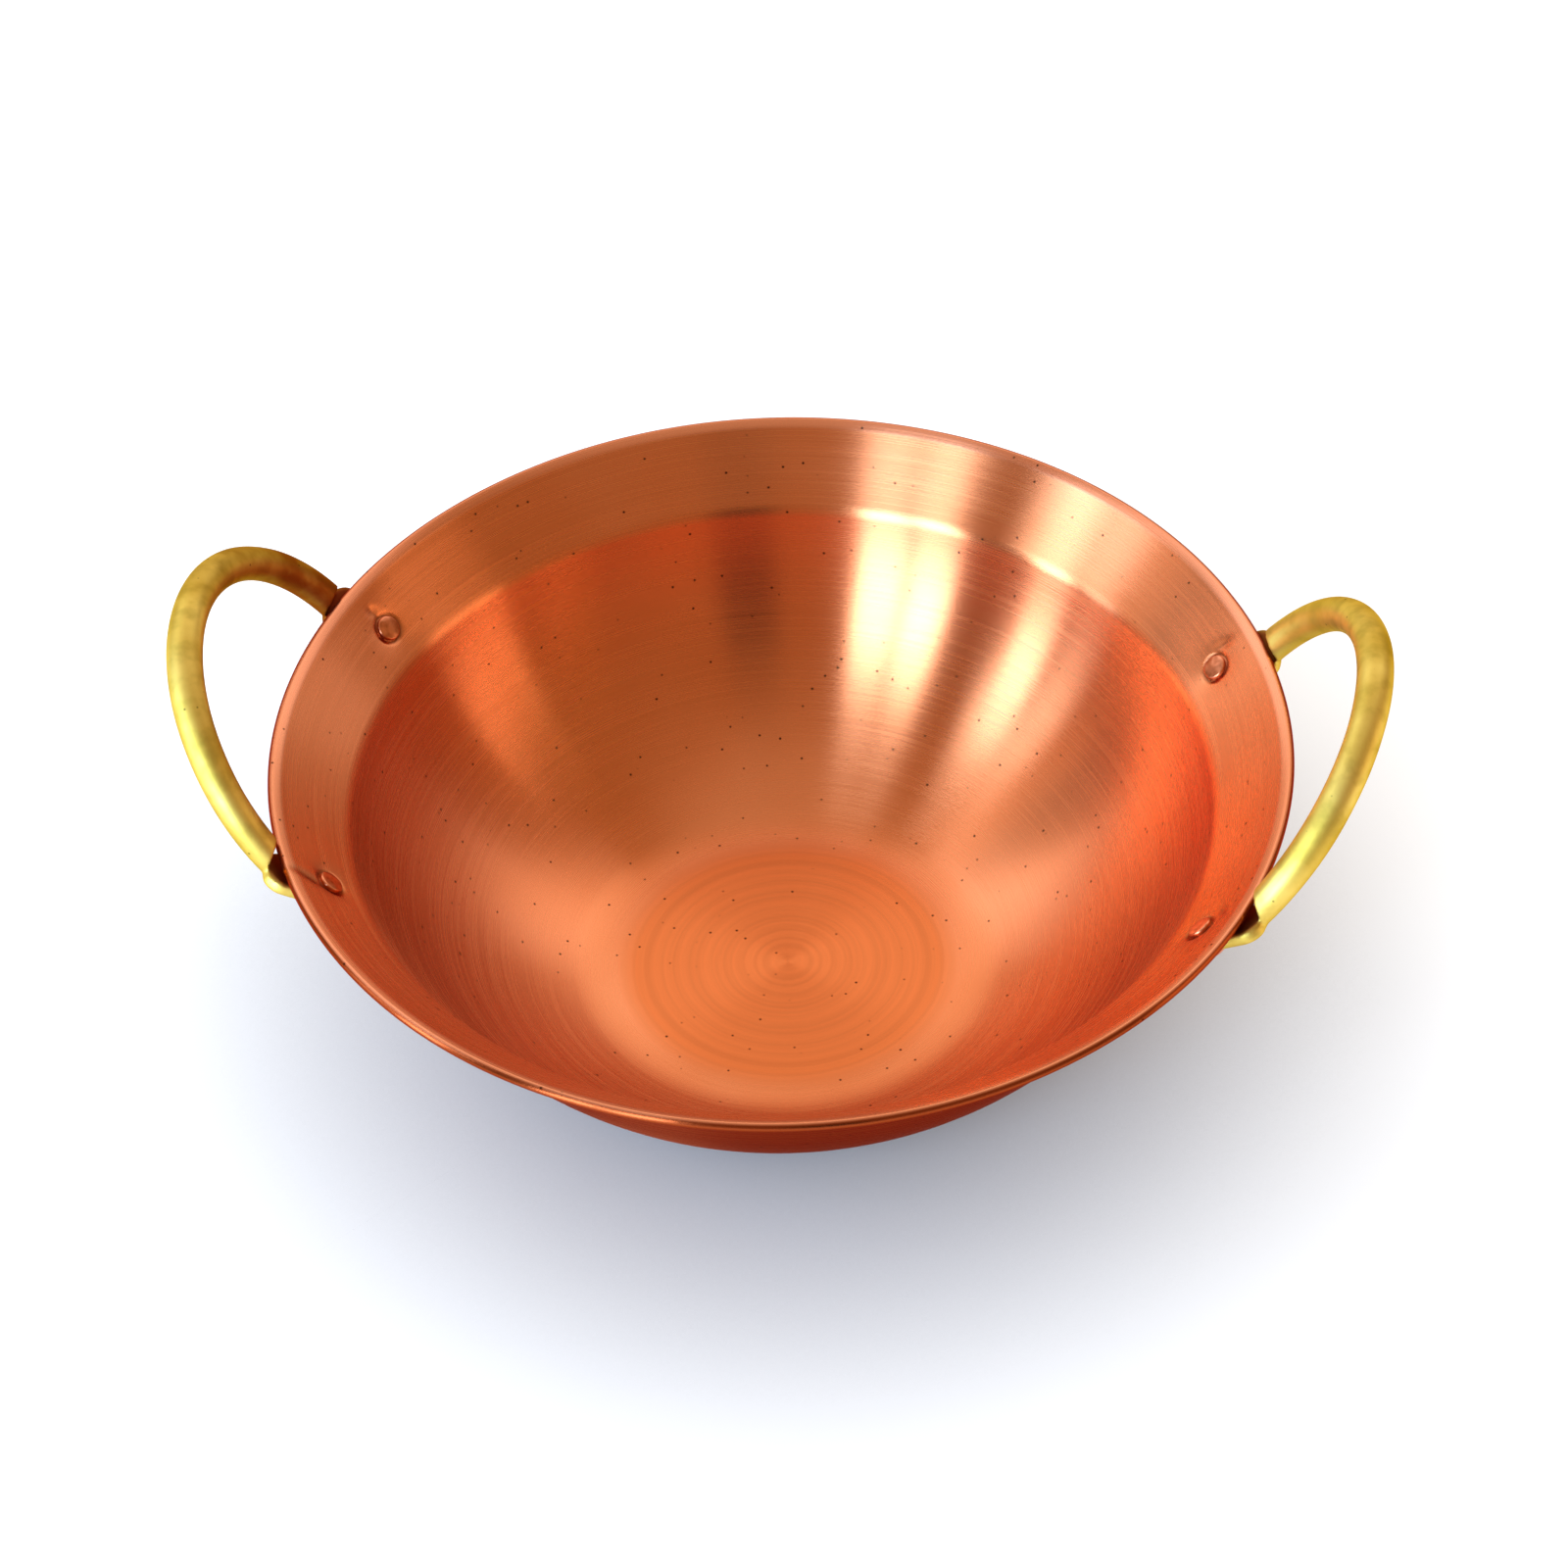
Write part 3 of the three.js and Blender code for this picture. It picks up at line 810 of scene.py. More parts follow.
@dataclass
class Bowl:
    """The spun bowl, with the dents that riveting left in its band.

    Each of the rim's waves has its share of the wobble, its number round the rim and its start.
    """

    section: SheetSection
    seats: Seats
    finish: SpunCopper = field(default_factory=SpunCopper)
    column: float = math.radians(1.25)
    fine_column: float = math.radians(0.25)
    fine_reach: float = math.radians(5.5)
    dimple_depth: float = 0.6
    dimple_radius: float = 6.0
    groove_depth: float = 0.35
    groove_radius: float = 4.1
    groove_width: float = 1.1
    press_reach: float = 4.0
    dent_fall: float = 4.0
    # How dark the groove round each rivet head is: partly dirt, partly painted shade
    grime: float = 0.75
    wobble: float = 0.12
    waves: tuple[tuple[float, int, float], ...] = ((1.0, 2, 0.4), (0.6, 3, 2.1), (0.4, 7, 1.2))
    dents: tuple[Dent, ...] = (
        Dent("rivet_left_front", 2.0, 7.5, math.radians(-12), 13.0, 3.0, 0.5, 0.5),
        Dent("rivet_left_front", -1.5, 1.5, math.radians(-40), 6.0, 4.0, 0.3, 0.6),
        Dent("rivet_left_back", 0.5, 6.5, math.radians(30), 4.0, 3.0, 0.35, 0.3),
        Dent("rivet_right_back", 4.0, 5.5, math.radians(-20), 7.0, 3.0, 0.35, 0.2),
        Dent("rivet_right_front", 5.5, 6.0, math.radians(-50), 8.0, 2.5, 0.3, 0.2),
    )

    def columns(self) -> np.ndarray:
        """Spreads the mesh's columns.

        Returns:
            Their angles, close together near the rivets.
        """
        rivets = np.array([self.seats.angle(foot) for foot in FEET]) % FULL_TURN
        plain = np.arange(0, FULL_TURN, self.column)
        away = np.abs((plain[:, None] - rivets + math.pi) % FULL_TURN - math.pi).min(axis=1)
        reach = np.arange(-self.fine_reach, self.fine_reach, self.fine_column)
        fine = (rivets[:, None] + reach).ravel() % FULL_TURN
        return np.sort(np.concatenate([plain[away > self.fine_reach + self.column / 2], fine]))

    def press(self, points: np.ndarray) -> tuple[np.ndarray, np.ndarray]:
        """Presses the dimples and dents into the band, and lets the rim wander as a hand-spun one does.

        Args:
            points: Vertices in millimetres.

        Returns:
            The moved vertices, and the share of darkening at each: partly dirt, partly painted shade.
        """
        moved = points.copy()
        grime = np.zeros(len(points))
        for foot in FEET:
            rivet = np.array(self.seats.matrix(foot))
            local = (points - rivet[:3, 3]) @ rivet[:3, :3]
            near = np.abs(local[:, 2]) < self.press_reach
            inside = near & (local[:, 2] < -self.section.sheet / 2)
            away = np.hypot(local[:, 0], local[:, 1])
            groove = np.exp(-(2 * (away - self.groove_radius) / self.groove_width) ** 2)
            dimple = self.dimple_depth * np.exp(-(away / self.dimple_radius) ** 2)
            push = dimple + self.groove_depth * groove
            # Darkening in the groove round the rivet head and in the dents: partly dirt, partly painted
            # shade
            dirt_and_shade = self.grime * groove
            for dent in self.dents:
                if dent.rivet == foot.name:
                    c, s = math.cos(dent.turn), math.sin(dent.turn)
                    x, y = local[:, 0] - dent.along, local[:, 1] - dent.up
                    across, lengthwise = (c * x - s * y) / dent.width, (s * x + c * y) / dent.length
                    share = np.exp(-self.dent_fall * (across ** 2 + lengthwise ** 2))
                    push = push + dent.depth * share
                    dirt_and_shade = np.maximum(dirt_and_shade, dent.grime * share)
            moved += np.where(near, push, 0)[:, None] * rivet[:3, 2]
            grime += np.where(inside, dirt_and_shade, 0)
        angle = np.arctan2(points[:, 1], points[:, 0])
        height = np.clip(points[:, 2] / self.section.rim_height, 0, 1) ** 2
        wander = sum(size * np.sin(count * angle + start) for size, count, start in self.waves)
        moved[:, 2] += self.wobble * height * wander
        return moved, np.clip(grime, 0, 1)

    def build(self) -> Object:
        """Builds and dresses the bowl.

        Returns:
            The bowl.
        """
        mesh = turned("pot_bowl_spun", self.section.outline(), self.columns())
        points, grime = self.press(coordinates(mesh))
        set_coordinates(mesh, points)
        set_share(mesh, "grime", grime)
        copper = self.finish.material(self.section.lip_at())
        return dress(mesh_object("bowl", mesh), copper, "spun_copper", "pot_bowl")


# Handles

@dataclass
class Handle:
    """A brass bar bent to half a circle, cast in one with the pads that it stands on.

    The pads lean away from the band, from their rivets to past the lip, and the bar ends over each in a
    shoulder. The brown, partly tarnish and partly a painted reflection of the copper, is the share at the
    back foot.
    """

    side: Side
    seats: Seats
    tilt: float = math.radians(54.9)
    middle_diameter: float = 9.9
    foot_diameter: float = 8.9
    above_rivet: float = 14.0
    below_band: float = 3.7
    pad_width: float = 15.5
    pad_thickness: float = 4.0
    pad_above_rivet: float = 18.0
    pad_corner: float = 5.0
    pad_rivet_end: float = 5.5
    pad_rounding: float = 1.3
    seat_diameter: float = 10.0
    bar_sides: int = 48
    bar_rings: int = 340
    corner_steps: int = 10
    rivet_end_steps: int = 24
    rounding_steps: int = 4
    seat_sides: int = 32
    voxel: float = 0.42
    smoothing: int = 6
    unevenness: float = 0.1
    unevenness_size: float = 16.0
    # How dark the painted shade on the feet's faces under the lip is
    grime: float = 0.9
    bowl_reach: float = 4.0
    # Share of brown at the back foot: partly tarnish, partly a painted reflection of the copper
    browning: float = 0.0
    brown_and_reflection_reach: float = 85.0
    brown_and_reflection_fall: float = 1.5

    @property
    def feet(self) -> list[Foot]:
        """The handle's two feet."""
        return [Foot(self.side, end) for end in ENDS]

    def bar_tree(self) -> Tree:
        """Builds the node tree of the bar: a round section along half a circle, thickest in the middle.

        Returns:
            The tree, whose inputs are its sizes in metres.
        """
        tree = geometry_tree("bent_bar", {
            "Loop radius": "Float",
            "Foot radius": "Float",
            "Middle radius": "Float",
            "Sides": "Int",
            "Rings": "Int",
            "Metal": "Material",
        })
        sizes = add(tree, "NodeGroupInput").outputs

        # The line reaches past the half circle by the round ends.
        past = add(tree, "ShaderNodeMath", {0: sizes["Foot radius"], 1: sizes["Loop radius"]},
                   operation="DIVIDE").outputs[0]
        start = add(tree, "ShaderNodeMath", {0: past, 1: -1.0}, operation="MULTIPLY").outputs[0]
        sweep = add(tree, "ShaderNodeMath", {0: past, 1: 2.0, 2: math.pi}, operation="MULTIPLY_ADD")
        line = add(tree, "GeometryNodeCurveArc",
                   {"Resolution": sizes["Rings"], "Radius": sizes["Loop radius"], "Start Angle": start,
                    "Sweep Angle": sweep.outputs[0]}).outputs[0]
        along = add(tree, "GeometryNodeSplineParameter").outputs
        half_turn = add(tree, "ShaderNodeMath", {0: along["Factor"], 1: math.pi},
                        operation="MULTIPLY").outputs[0]
        swell = add(tree, "ShaderNodeMath", {0: half_turn}, operation="SINE").outputs[0]
        plain = add(tree, "ShaderNodeMix",
                    {"Factor": swell, NUMBER_A: sizes["Foot radius"],
                     NUMBER_B: sizes["Middle radius"]}).outputs[0]

        # A round end's section grows as a ball's does, with the distance from the tip.
        whole = add(tree, "GeometryNodeCurveLength", {"Curve": line}).outputs[0]
        left = add(tree, "ShaderNodeMath", {0: whole, 1: along["Length"]}, operation="SUBTRACT").outputs[0]
        tip = add(tree, "ShaderNodeMath", {0: left, 1: along["Length"]}, operation="MINIMUM").outputs[0]
        inwards = add(tree, "ShaderNodeMapRange",
                      {"Value": tip, FROM_LOW: 0.0, FROM_HIGH: sizes["Foot radius"],
                       TO_LOW: 1.0, TO_HIGH: 0.0}).outputs[0]
        angle = add(tree, "ShaderNodeMath", {0: inwards}, operation="ARCCOSINE").outputs[0]
        ball = add(tree, "ShaderNodeMath", {0: angle}, operation="SINE").outputs[0]
        radius = add(tree, "ShaderNodeMath", {0: plain, 1: ball}, operation="MULTIPLY")
        section = add(tree, "GeometryNodeCurvePrimitiveCircle",
                      {"Resolution": sizes["Sides"], "Radius": 1.0})
        bar = add(tree, "GeometryNodeCurveToMesh",
                  {"Curve": line, "Profile Curve": section.outputs[0],
                   "Scale": radius.outputs[0], "Fill Caps": True})
        real = add(tree, "GeometryNodeRealizeInstances", {0: bar.outputs[0]})
        metal = add(tree, "GeometryNodeSetMaterial",
                    {"Geometry": real.outputs[0], "Material": sizes["Metal"]})
        add(tree, "NodeGroupOutput", {0: metal.outputs[0]})
        return tree

    def loop_matrix(self) -> Matrix:
        """Places the bar's half circle.

        Returns:
            Its frame in millimetres: X from foot to foot, Y up its tilt.
        """
        foot = Foot(self.side, 1)
        lean = self.seats.lean(foot)
        up, along = self.above_rivet * math.cos(lean), -self.above_rivet * math.sin(lean)
        end = self.seats.matrix(foot) @ Vector((along, up, self.below_band))
        turn = Matrix.Rotation(self.side.value, 4, "Z")
        end = turn.inverted() @ end
        rise = Vector((math.cos(self.tilt), 0, math.sin(self.tilt)))
        across = Vector((0, 1, 0))
        axes = Matrix((across, rise, across.cross(rise))).transposed().to_4x4()
        return turn @ Matrix.Translation((end.x, 0, end.z)) @ axes

    def bar(self, metal: Material) -> Mesh:
        """Runs the bar's node tree and puts the result in its place.

        Args:
            metal: The bar's material.

        Returns:
            The bar's mesh.
        """
        piece = mesh_object("bar_maker", bpy.data.meshes.new("bar_maker"))
        mesh = grown(piece, self.bar_tree(), {
            "Loop radius": self.seats.spacing / 2 * MM,
            "Foot radius": self.foot_diameter / 2 * MM,
            "Middle radius": self.middle_diameter / 2 * MM,
            "Sides": self.bar_sides,
            "Rings": self.bar_rings,
            "Metal": metal,
        }, "bar")
        place = self.loop_matrix()
        place.translation *= MM
        mesh.transform(place)
        points = coordinates(mesh)
        for foot in self.feet:
            points = self.clear_of_pad(points, foot)
        set_coordinates(mesh, points)
        return mesh

    def clear_of_pad(self, points: np.ndarray, foot: Foot) -> np.ndarray:
        """Flattens the part of the bar that stands over a pad down to the pad, which leaves a shoulder.

        Args:
            points: Vertices in millimetres.
            foot: The pad's foot.

        Returns:
            The moved vertices.
        """
        pad = np.array(self.seats.pad_matrix(foot))
        local = (points - pad[:3, 3]) @ pad[:3, :3]
        over = (local[:, 1] < self.pad_above_rivet) & (local[:, 2] < 0)
        near = np.abs(local[:, 0]) < self.pad_width
        local[over & near, 2] = 0
        return local @ pad[:3, :3].T + pad[:3, 3]

    def pad_outline(self, inset: float) -> np.ndarray:
        """Draws a pad's outline, round at its rivet and at its outer corners.

        Args:
            inset: How far it is drawn in.

        Returns:
            Points in millimetres, one row each.
        """
        corner = np.array([self.pad_width / 2, self.pad_above_rivet]) - self.pad_corner
        mirrored = corner * [-1, 1]

        # Each long side is a straight line that touches the round end and a round corner at the same angle.
        spread = math.acos((self.pad_rivet_end - self.pad_corner) / np.linalg.norm(corner))
        right = math.atan2(corner[1], corner[0]) - spread
        left = math.pi - right
        return np.concatenate([
            arc(np.zeros(2), self.pad_rivet_end - inset, left, right + FULL_TURN, self.rivet_end_steps),
            arc(corner, self.pad_corner - inset, right, -DOWN, self.corner_steps),
            arc(mirrored, self.pad_corner - inset, -DOWN, left, self.corner_steps),
        ])

    @staticmethod
    def stack(rings: list[np.ndarray], place: Matrix) -> tuple[list, list]:
        """Closes a stack of rings with as many points each.

        Args:
            rings: Points in millimetres, one array for each ring, from the lowest to the highest.
            place: The frame that they are in.

        Returns:
            The vertices in metres, and the faces.
        """
        count = len(rings[0])
        points = [place @ Vector(p) * MM for ring in rings for p in ring]
        index = np.arange(len(rings) * count).reshape(len(rings), count)
        after = np.roll(index, -1, axis=1)
        faces = np.stack([index[:-1], after[:-1], after[1:], index[1:]], axis=-1).reshape(-1, 4).tolist()
        return points, faces + [index[0, ::-1].tolist(), index[-1].tolist()]

    def foot(self, foot: Foot) -> Mesh:
        """Builds a foot: its pad, and the round seat for its rivet.

        Args:
            foot: The foot.

        Returns:
            Its mesh.
        """
        rounding = self.pad_rounding
        rings = []
        for level, way in ((rounding, -1), (self.pad_thickness - rounding, 1)):
            for angle in np.linspace(0, -DOWN, self.rounding_steps + 1)[::way]:
                outline = self.pad_outline(rounding * (1 - math.cos(angle)))
                height = np.full((len(outline), 1), level + way * rounding * math.sin(angle))
                rings.append(np.hstack([outline, height]))
        points, faces = self.stack(rings, self.seats.pad_matrix(foot))
        circle = arc(np.zeros(2), self.seat_diameter / 2, 0, FULL_TURN, self.seat_sides)[:-1]
        ends = (0.0, self.seats.height)
        seat = [np.hstack([circle, np.full((len(circle), 1), height)]) for height in ends]
        more, seat_faces = self.stack(seat, self.seats.matrix(foot))
        faces += [[i + len(points) for i in face] for face in seat_faces]
        mesh = bpy.data.meshes.new("foot")
        mesh.from_pydata([*points, *more], [], faces)
        return mesh

    def clear_of_bowl(self, points: np.ndarray) -> np.ndarray:
        """Moves points that are in the bowl, or closer to it than a foot's fit, out to that fit.

        Args:
            points: Vertices in millimetres.

        Returns:
            The moved vertices.
        """
        line = self.seats.section.outside(self.seats.fit)
        start, step = line[:-1], np.diff(line, axis=0)
        flat = np.stack([np.hypot(points[:, 0], points[:, 1]), points[:, 2]], axis=1)
        offset = flat[:, None] - start
        share = np.clip((offset * step).sum(-1) / (step ** 2).sum(-1), 0, 1)
        gap = offset - share[..., None] * step
        distance = np.linalg.norm(gap, axis=-1)
        nearest = distance.argmin(axis=1)
        rows = np.arange(len(flat))
        gap, step = gap[rows, nearest], step[nearest]
        inward = step[:, 0] * gap[:, 1] - step[:, 1] * gap[:, 0] > 0
        inside = inward & (distance[rows, nearest] < self.bowl_reach)
        target = flat - np.where(inside, 1, 0)[:, None] * gap
        scale = target[:, 0] / flat[:, 0]
        return np.stack([points[:, 0] * scale, points[:, 1] * scale, target[:, 1]], axis=1)

    def uneven(self, mesh: Mesh) -> None:
        """Makes the cast surface a little uneven.

        Args:
            mesh: The handle's mesh.
        """
        points = coordinates(mesh)
        normals = np.array([v.normal for v in mesh.vertices])
        lift = [noise.noise(Vector(p) / self.unevenness_size) for p in points]
        points += self.unevenness * np.array(lift)[:, None] * normals
        set_coordinates(mesh, self.clear_of_bowl(points))

    def paint_pad_shade(self, mesh: Mesh) -> None:
        """Marks painted shade, with a painted reflection of the copper, on the inner faces of the pads, as
        a share at each vertex.

        Args:
            mesh: The handle's mesh.
        """
        points = coordinates(mesh)
        normals = np.array([v.normal for v in mesh.vertices])
        grime = np.zeros(len(points))
        for foot in self.feet:
            pad = np.array(self.seats.pad_matrix(foot))
            local = (points - pad[:3, 3]) @ pad[:3, :3]
            on_pad = (np.abs(local[:, 0]) < self.pad_width) & (np.abs(local[:, 2]) < self.pad_rounding)
            on_pad &= local[:, 1] < self.pad_above_rivet + self.pad_rounding
            inwards = np.clip(-normals @ pad[:3, 2], 0, 1)
            grime += np.where(on_pad, self.grime * inwards ** 2, 0)
        set_share(mesh, "grime", grime)

    def brown(self, mesh: Mesh) -> None:
        """Marks how brown the metal is, partly tarnish and partly a painted reflection of the copper, as a
        share at each vertex that falls off from the back foot.

        Args:
            mesh: The handle's mesh.
        """
        places = [self.seats.matrix(foot).translation for foot in self.feet]
        back = max(places, key=lambda place: place.y)
        far = np.linalg.norm(coordinates(mesh) - np.array(back), axis=1) / self.brown_and_reflection_reach
        set_share(mesh, "browning", self.browning * np.clip(self.brown_and_reflection_fall * (1 - far), 0, 1))

    def build(self, metal: Material) -> Object:
        """Joins the bar and its feet into one cast piece, and dresses it.

        Args:
            metal: The handle's material.

        Returns:
            The handle.
        """
        name = f"handle_{self.side.name.lower()}"
        parts = [self.bar(metal)] + [self.foot(foot) for foot in self.feet]
        points, faces = [], []
        for part in parts:
            faces += [[i + len(points) for i in face.vertices] for face in part.polygons]
            points += [v.co.copy() for v in part.vertices]
            bpy.data.meshes.remove(part)
        mesh = bpy.data.meshes.new(name)
        mesh.from_pydata(points, [], faces)
        rough = mesh_object(name + "_rough", mesh)
        remesh = rough.modifiers.new("one_skin", "REMESH")
        remesh.mode = "VOXEL"
        remesh.voxel_size = self.voxel * MM
        smooth = rough.modifiers.new("cast_fillets", "SMOOTH")
        smooth.iterations = self.smoothing
        cast = applied(rough, name + "_cast")
        self.uneven(cast)
        self.paint_pad_shade(cast)
        self.brown(cast)
        return dress(mesh_object(name + "_brass", cast), metal, "cast_brass", name)


# Rivets

@dataclass
class Rivets:
    """Four copper rivets: a low flat head inside the bowl, a shank, and a domed tail outside the foot."""

    seats: Seats
    dimple: float
    finish: HammeredCopper = field(default_factory=HammeredCopper)
    shank_diameter: float = 4.6
    head_diameter: float = 7.2
    head_height: float = 1.1
    head_rounding: float = 0.5
    head_crown: float = 0.15
    tail_diameter: float = 8.0
    tail_height: float = 2.0
    sides: int = 40
    face_steps: int = 6
    rounding_steps: int = 5
    tail_steps: int = 8
    hammer_mark: float = 0.34
    hammer_mark_size: float = 2.6
    seed: int = 11

    def one(self) -> Object:
        """Builds one rivet on Z, with its head at the low end.

        Returns:
            The rivet's object.
        """
        head, shank, tail = self.head_diameter / 2, self.shank_diameter / 2, self.tail_diameter / 2
        seat = self.dimple - self.seats.section.sheet
        top = seat - self.head_height
        tail_seat = self.seats.height
        corner = np.array([head - self.head_rounding, top + self.head_rounding])
        rim = arc(corner, self.head_rounding, DOWN, 0, self.rounding_steps)
        radii = np.linspace(0, rim[0][0], self.face_steps + 1)[:-1]
        face = np.stack([radii, top - self.head_crown * (1 - (radii / rim[0][0]) ** 2)], axis=1)
        dome = arc(np.zeros(2), 1.0, 0, -DOWN, self.tail_steps) * [tail, self.tail_height] + [0, tail_seat]
        dome[-1, 0] = 0
        outline = np.concatenate([face, rim, [[head, seat], [shank, seat], [shank, tail_seat]], dome])
        angles = np.linspace(0, FULL_TURN, self.sides, endpoint=False)
        return mesh_object("rivet_pattern", turned("rivet_pattern", outline, angles))

    def tree(self) -> Tree:
        """Builds the node tree that sets a rivet in each foot and marks it with the hammer.

        Returns:
            The tree, whose inputs are the rivet, the hammer marks in metres and a seed.
        """
        tree = geometry_tree("set_rivets", {
            "Rivet": "Object",
            "Mark depth": "Float",
            "Mark size": "Float",
            "Seed": "Int",
            "Metal": "Material",
        })
        given = add(tree, "NodeGroupInput").outputs
        rivet = add(tree, "GeometryNodeObjectInfo", {"Object": given["Rivet"]}).outputs["Geometry"]
        out = add(tree, "GeometryNodeInputNamedAttribute", {"Name": "outwards"}, data_type="FLOAT_VECTOR")
        aim = add(tree, "FunctionNodeAlignRotationToVector", {"Vector": out.outputs[0]}, axis="Z")
        placed = add(tree, "GeometryNodeInstanceOnPoints",
                     {"Points": given["Geometry"], "Instance": rivet, "Rotation": aim.outputs[0]})

        # Each rivet has its own turn on Z. The least and the greatest number are inputs 2 and 3.
        spin = add(tree, "FunctionNodeRandomValue", {2: 0.0, 3: FULL_TURN, "Seed": given["Seed"]},
                   data_type="FLOAT")
        turn = add(tree, "ShaderNodeCombineXYZ", {"Z": spin.outputs[1]}).outputs[0]
        turned_round = add(tree, "GeometryNodeRotateInstances",
                           {"Instances": placed.outputs[0], "Rotation": turn, "Local Space": True})
        real = add(tree, "GeometryNodeRealizeInstances", {0: turned_round.outputs[0]})

        # Hammer marks: noise about its middle value, along the normal
        place = add(tree, "GeometryNodeInputPosition").outputs[0]
        spread = add(tree, "ShaderNodeMath", {0: 1.0, 1: given["Mark size"]}, operation="DIVIDE").outputs[0]
        marks = add(tree, "ShaderNodeTexNoise",
                    {"Vector": place, "Scale": spread, "Detail": 1.0}).outputs["Fac"]
        level = add(tree, "ShaderNodeMath", {0: marks, 1: 0.5}, operation="SUBTRACT").outputs[0]
        depth = add(tree, "ShaderNodeMath", {0: level, 1: given["Mark depth"]},
                    operation="MULTIPLY").outputs[0]
        normal = add(tree, "GeometryNodeInputNormal").outputs[0]
        push = add(tree, "ShaderNodeVectorMath", {0: normal, "Scale": depth}, operation="SCALE").outputs[0]
        marked = add(tree, "GeometryNodeSetPosition", {"Geometry": real.outputs[0], "Offset": push})
        metal = add(tree, "GeometryNodeSetMaterial",
                    {"Geometry": marked.outputs[0], "Material": given["Metal"]})
        add(tree, "NodeGroupOutput", {0: metal.outputs[0]})
        return tree

    def build(self) -> Object:
        """Sets the rivets and dresses them.

        Returns:
            One piece that holds all four.
        """
        frames = [self.seats.matrix(foot) for foot in FEET]
        mesh = bpy.data.meshes.new("rivet_places")
        mesh.from_pydata([m.translation * MM for m in frames], [], [])
        ways = mesh.attributes.new("outwards", "FLOAT_VECTOR", "POINT")
        ways.data.foreach_set("vector", [x for m in frames for x in m.col[2][:3]])
        piece = bpy.data.objects.new("rivet_setter", mesh)
        bpy.context.scene.collection.objects.link(piece)
        pattern, metal = self.one(), self.finish.material()
        rivets = grown(piece, self.tree(), {
            "Rivet": pattern,
            "Mark depth": self.hammer_mark * MM,
            "Mark size": self.hammer_mark_size * MM,
            "Seed": self.seed,
            "Metal": metal,
        }, "rivets_hammered")
        bpy.data.objects.remove(pattern)
        return dress(mesh_object("rivets", rivets), metal, "rivet_copper", *[foot.name for foot in FEET])


# Studio and camera

@dataclass(frozen=True)
class PhotoCamera:
    """The photograph's camera.

    A long lens looks down at the rim's middle, a little to one side of square to the handles.
    """

    rim_height: float
    lens: float = 119.53
    sensor: float = 36.0
    distance: float = 1421.6
    elevation: float = math.radians(44.06)
    roll: float = math.radians(-2.06)
    turn: float = math.radians(7.05)
    right_of_aim: float = 1.1
    above_aim: float = -10.4
    near_limit: float = 50.0

    def build(self) -> None:
        """Builds the camera and makes it the scene's own."""
        back = Vector((0, -math.cos(self.elevation), math.sin(self.elevation)))
        right = Matrix.Rotation(self.roll, 3, back) @ Vector((1, 0, 0))
        up = back.cross(right)
        place = Vector((self.right_of_aim, 0, self.rim_height)) + up * self.above_aim + back * self.distance
        axes = Matrix((right, up, back)).transposed().to_4x4()
        data = bpy.data.cameras.new("photo_camera")
        data.sensor_width = self.sensor
        data.lens = self.lens
        data.clip_start = self.near_limit * MM
        camera = bpy.data.objects.new("photo_camera", data)
        camera.matrix_world = Matrix.Rotation(self.turn, 4, "Z") @ Matrix.Translation(place * MM) @ axes
        bpy.context.scene.collection.objects.link(camera)
        bpy.context.scene.camera = camera


@dataclass(frozen=True)
class Window:
    """A pane of soft light.

    Its start, end, low and high are in degrees as seen from the pot, and the first two count from the
    camera's bearing.
    """

    name: str
    start: float
    end: float
    low: float
    high: float
    brightness: float
    colour: str = "AED7FF"

    def build(self, turn: float, distance: float) -> None:
        """Builds the light.

        Args:
            turn: The camera's turn about Z, from which azimuths count.
            distance: How far the light stands from the pot, in metres.
        """
        azimuth = math.radians(self.start + self.end) / 2
        wide = 2 * distance * math.tan(math.radians(self.end - self.start) / 2)
        bottom, top = [distance * math.tan(math.radians(angle)) for angle in (self.low, self.high)]
        data = bpy.data.lights.new(self.name, "AREA")
        data.shape = "RECTANGLE"
        data.size, data.size_y = wide, top - bottom
        data.color = linear(self.colour)[:3]
        data.energy = math.pi * wide * (top - bottom) * self.brightness
        light = bpy.data.objects.new(self.name, data)
        light.visible_camera = False
        middle = Matrix.Translation((0, -distance, (bottom + top) / 2))
        upright = Matrix.Rotation(-DOWN, 4, "X")
        light.matrix_world = Matrix.Rotation(turn + azimuth, 4, "Z") @ middle @ upright
        bpy.context.scene.collection.objects.link(light)


@dataclass(frozen=True)
class Screen:
    """A dark upright strip of the room.

    Its start, end, top and blur are in degrees, as a window's are, and its depth is the share of the light
    that it takes.
    """

    start: float
    end: float
    top: float
    depth: float
    blur: float = 4.0


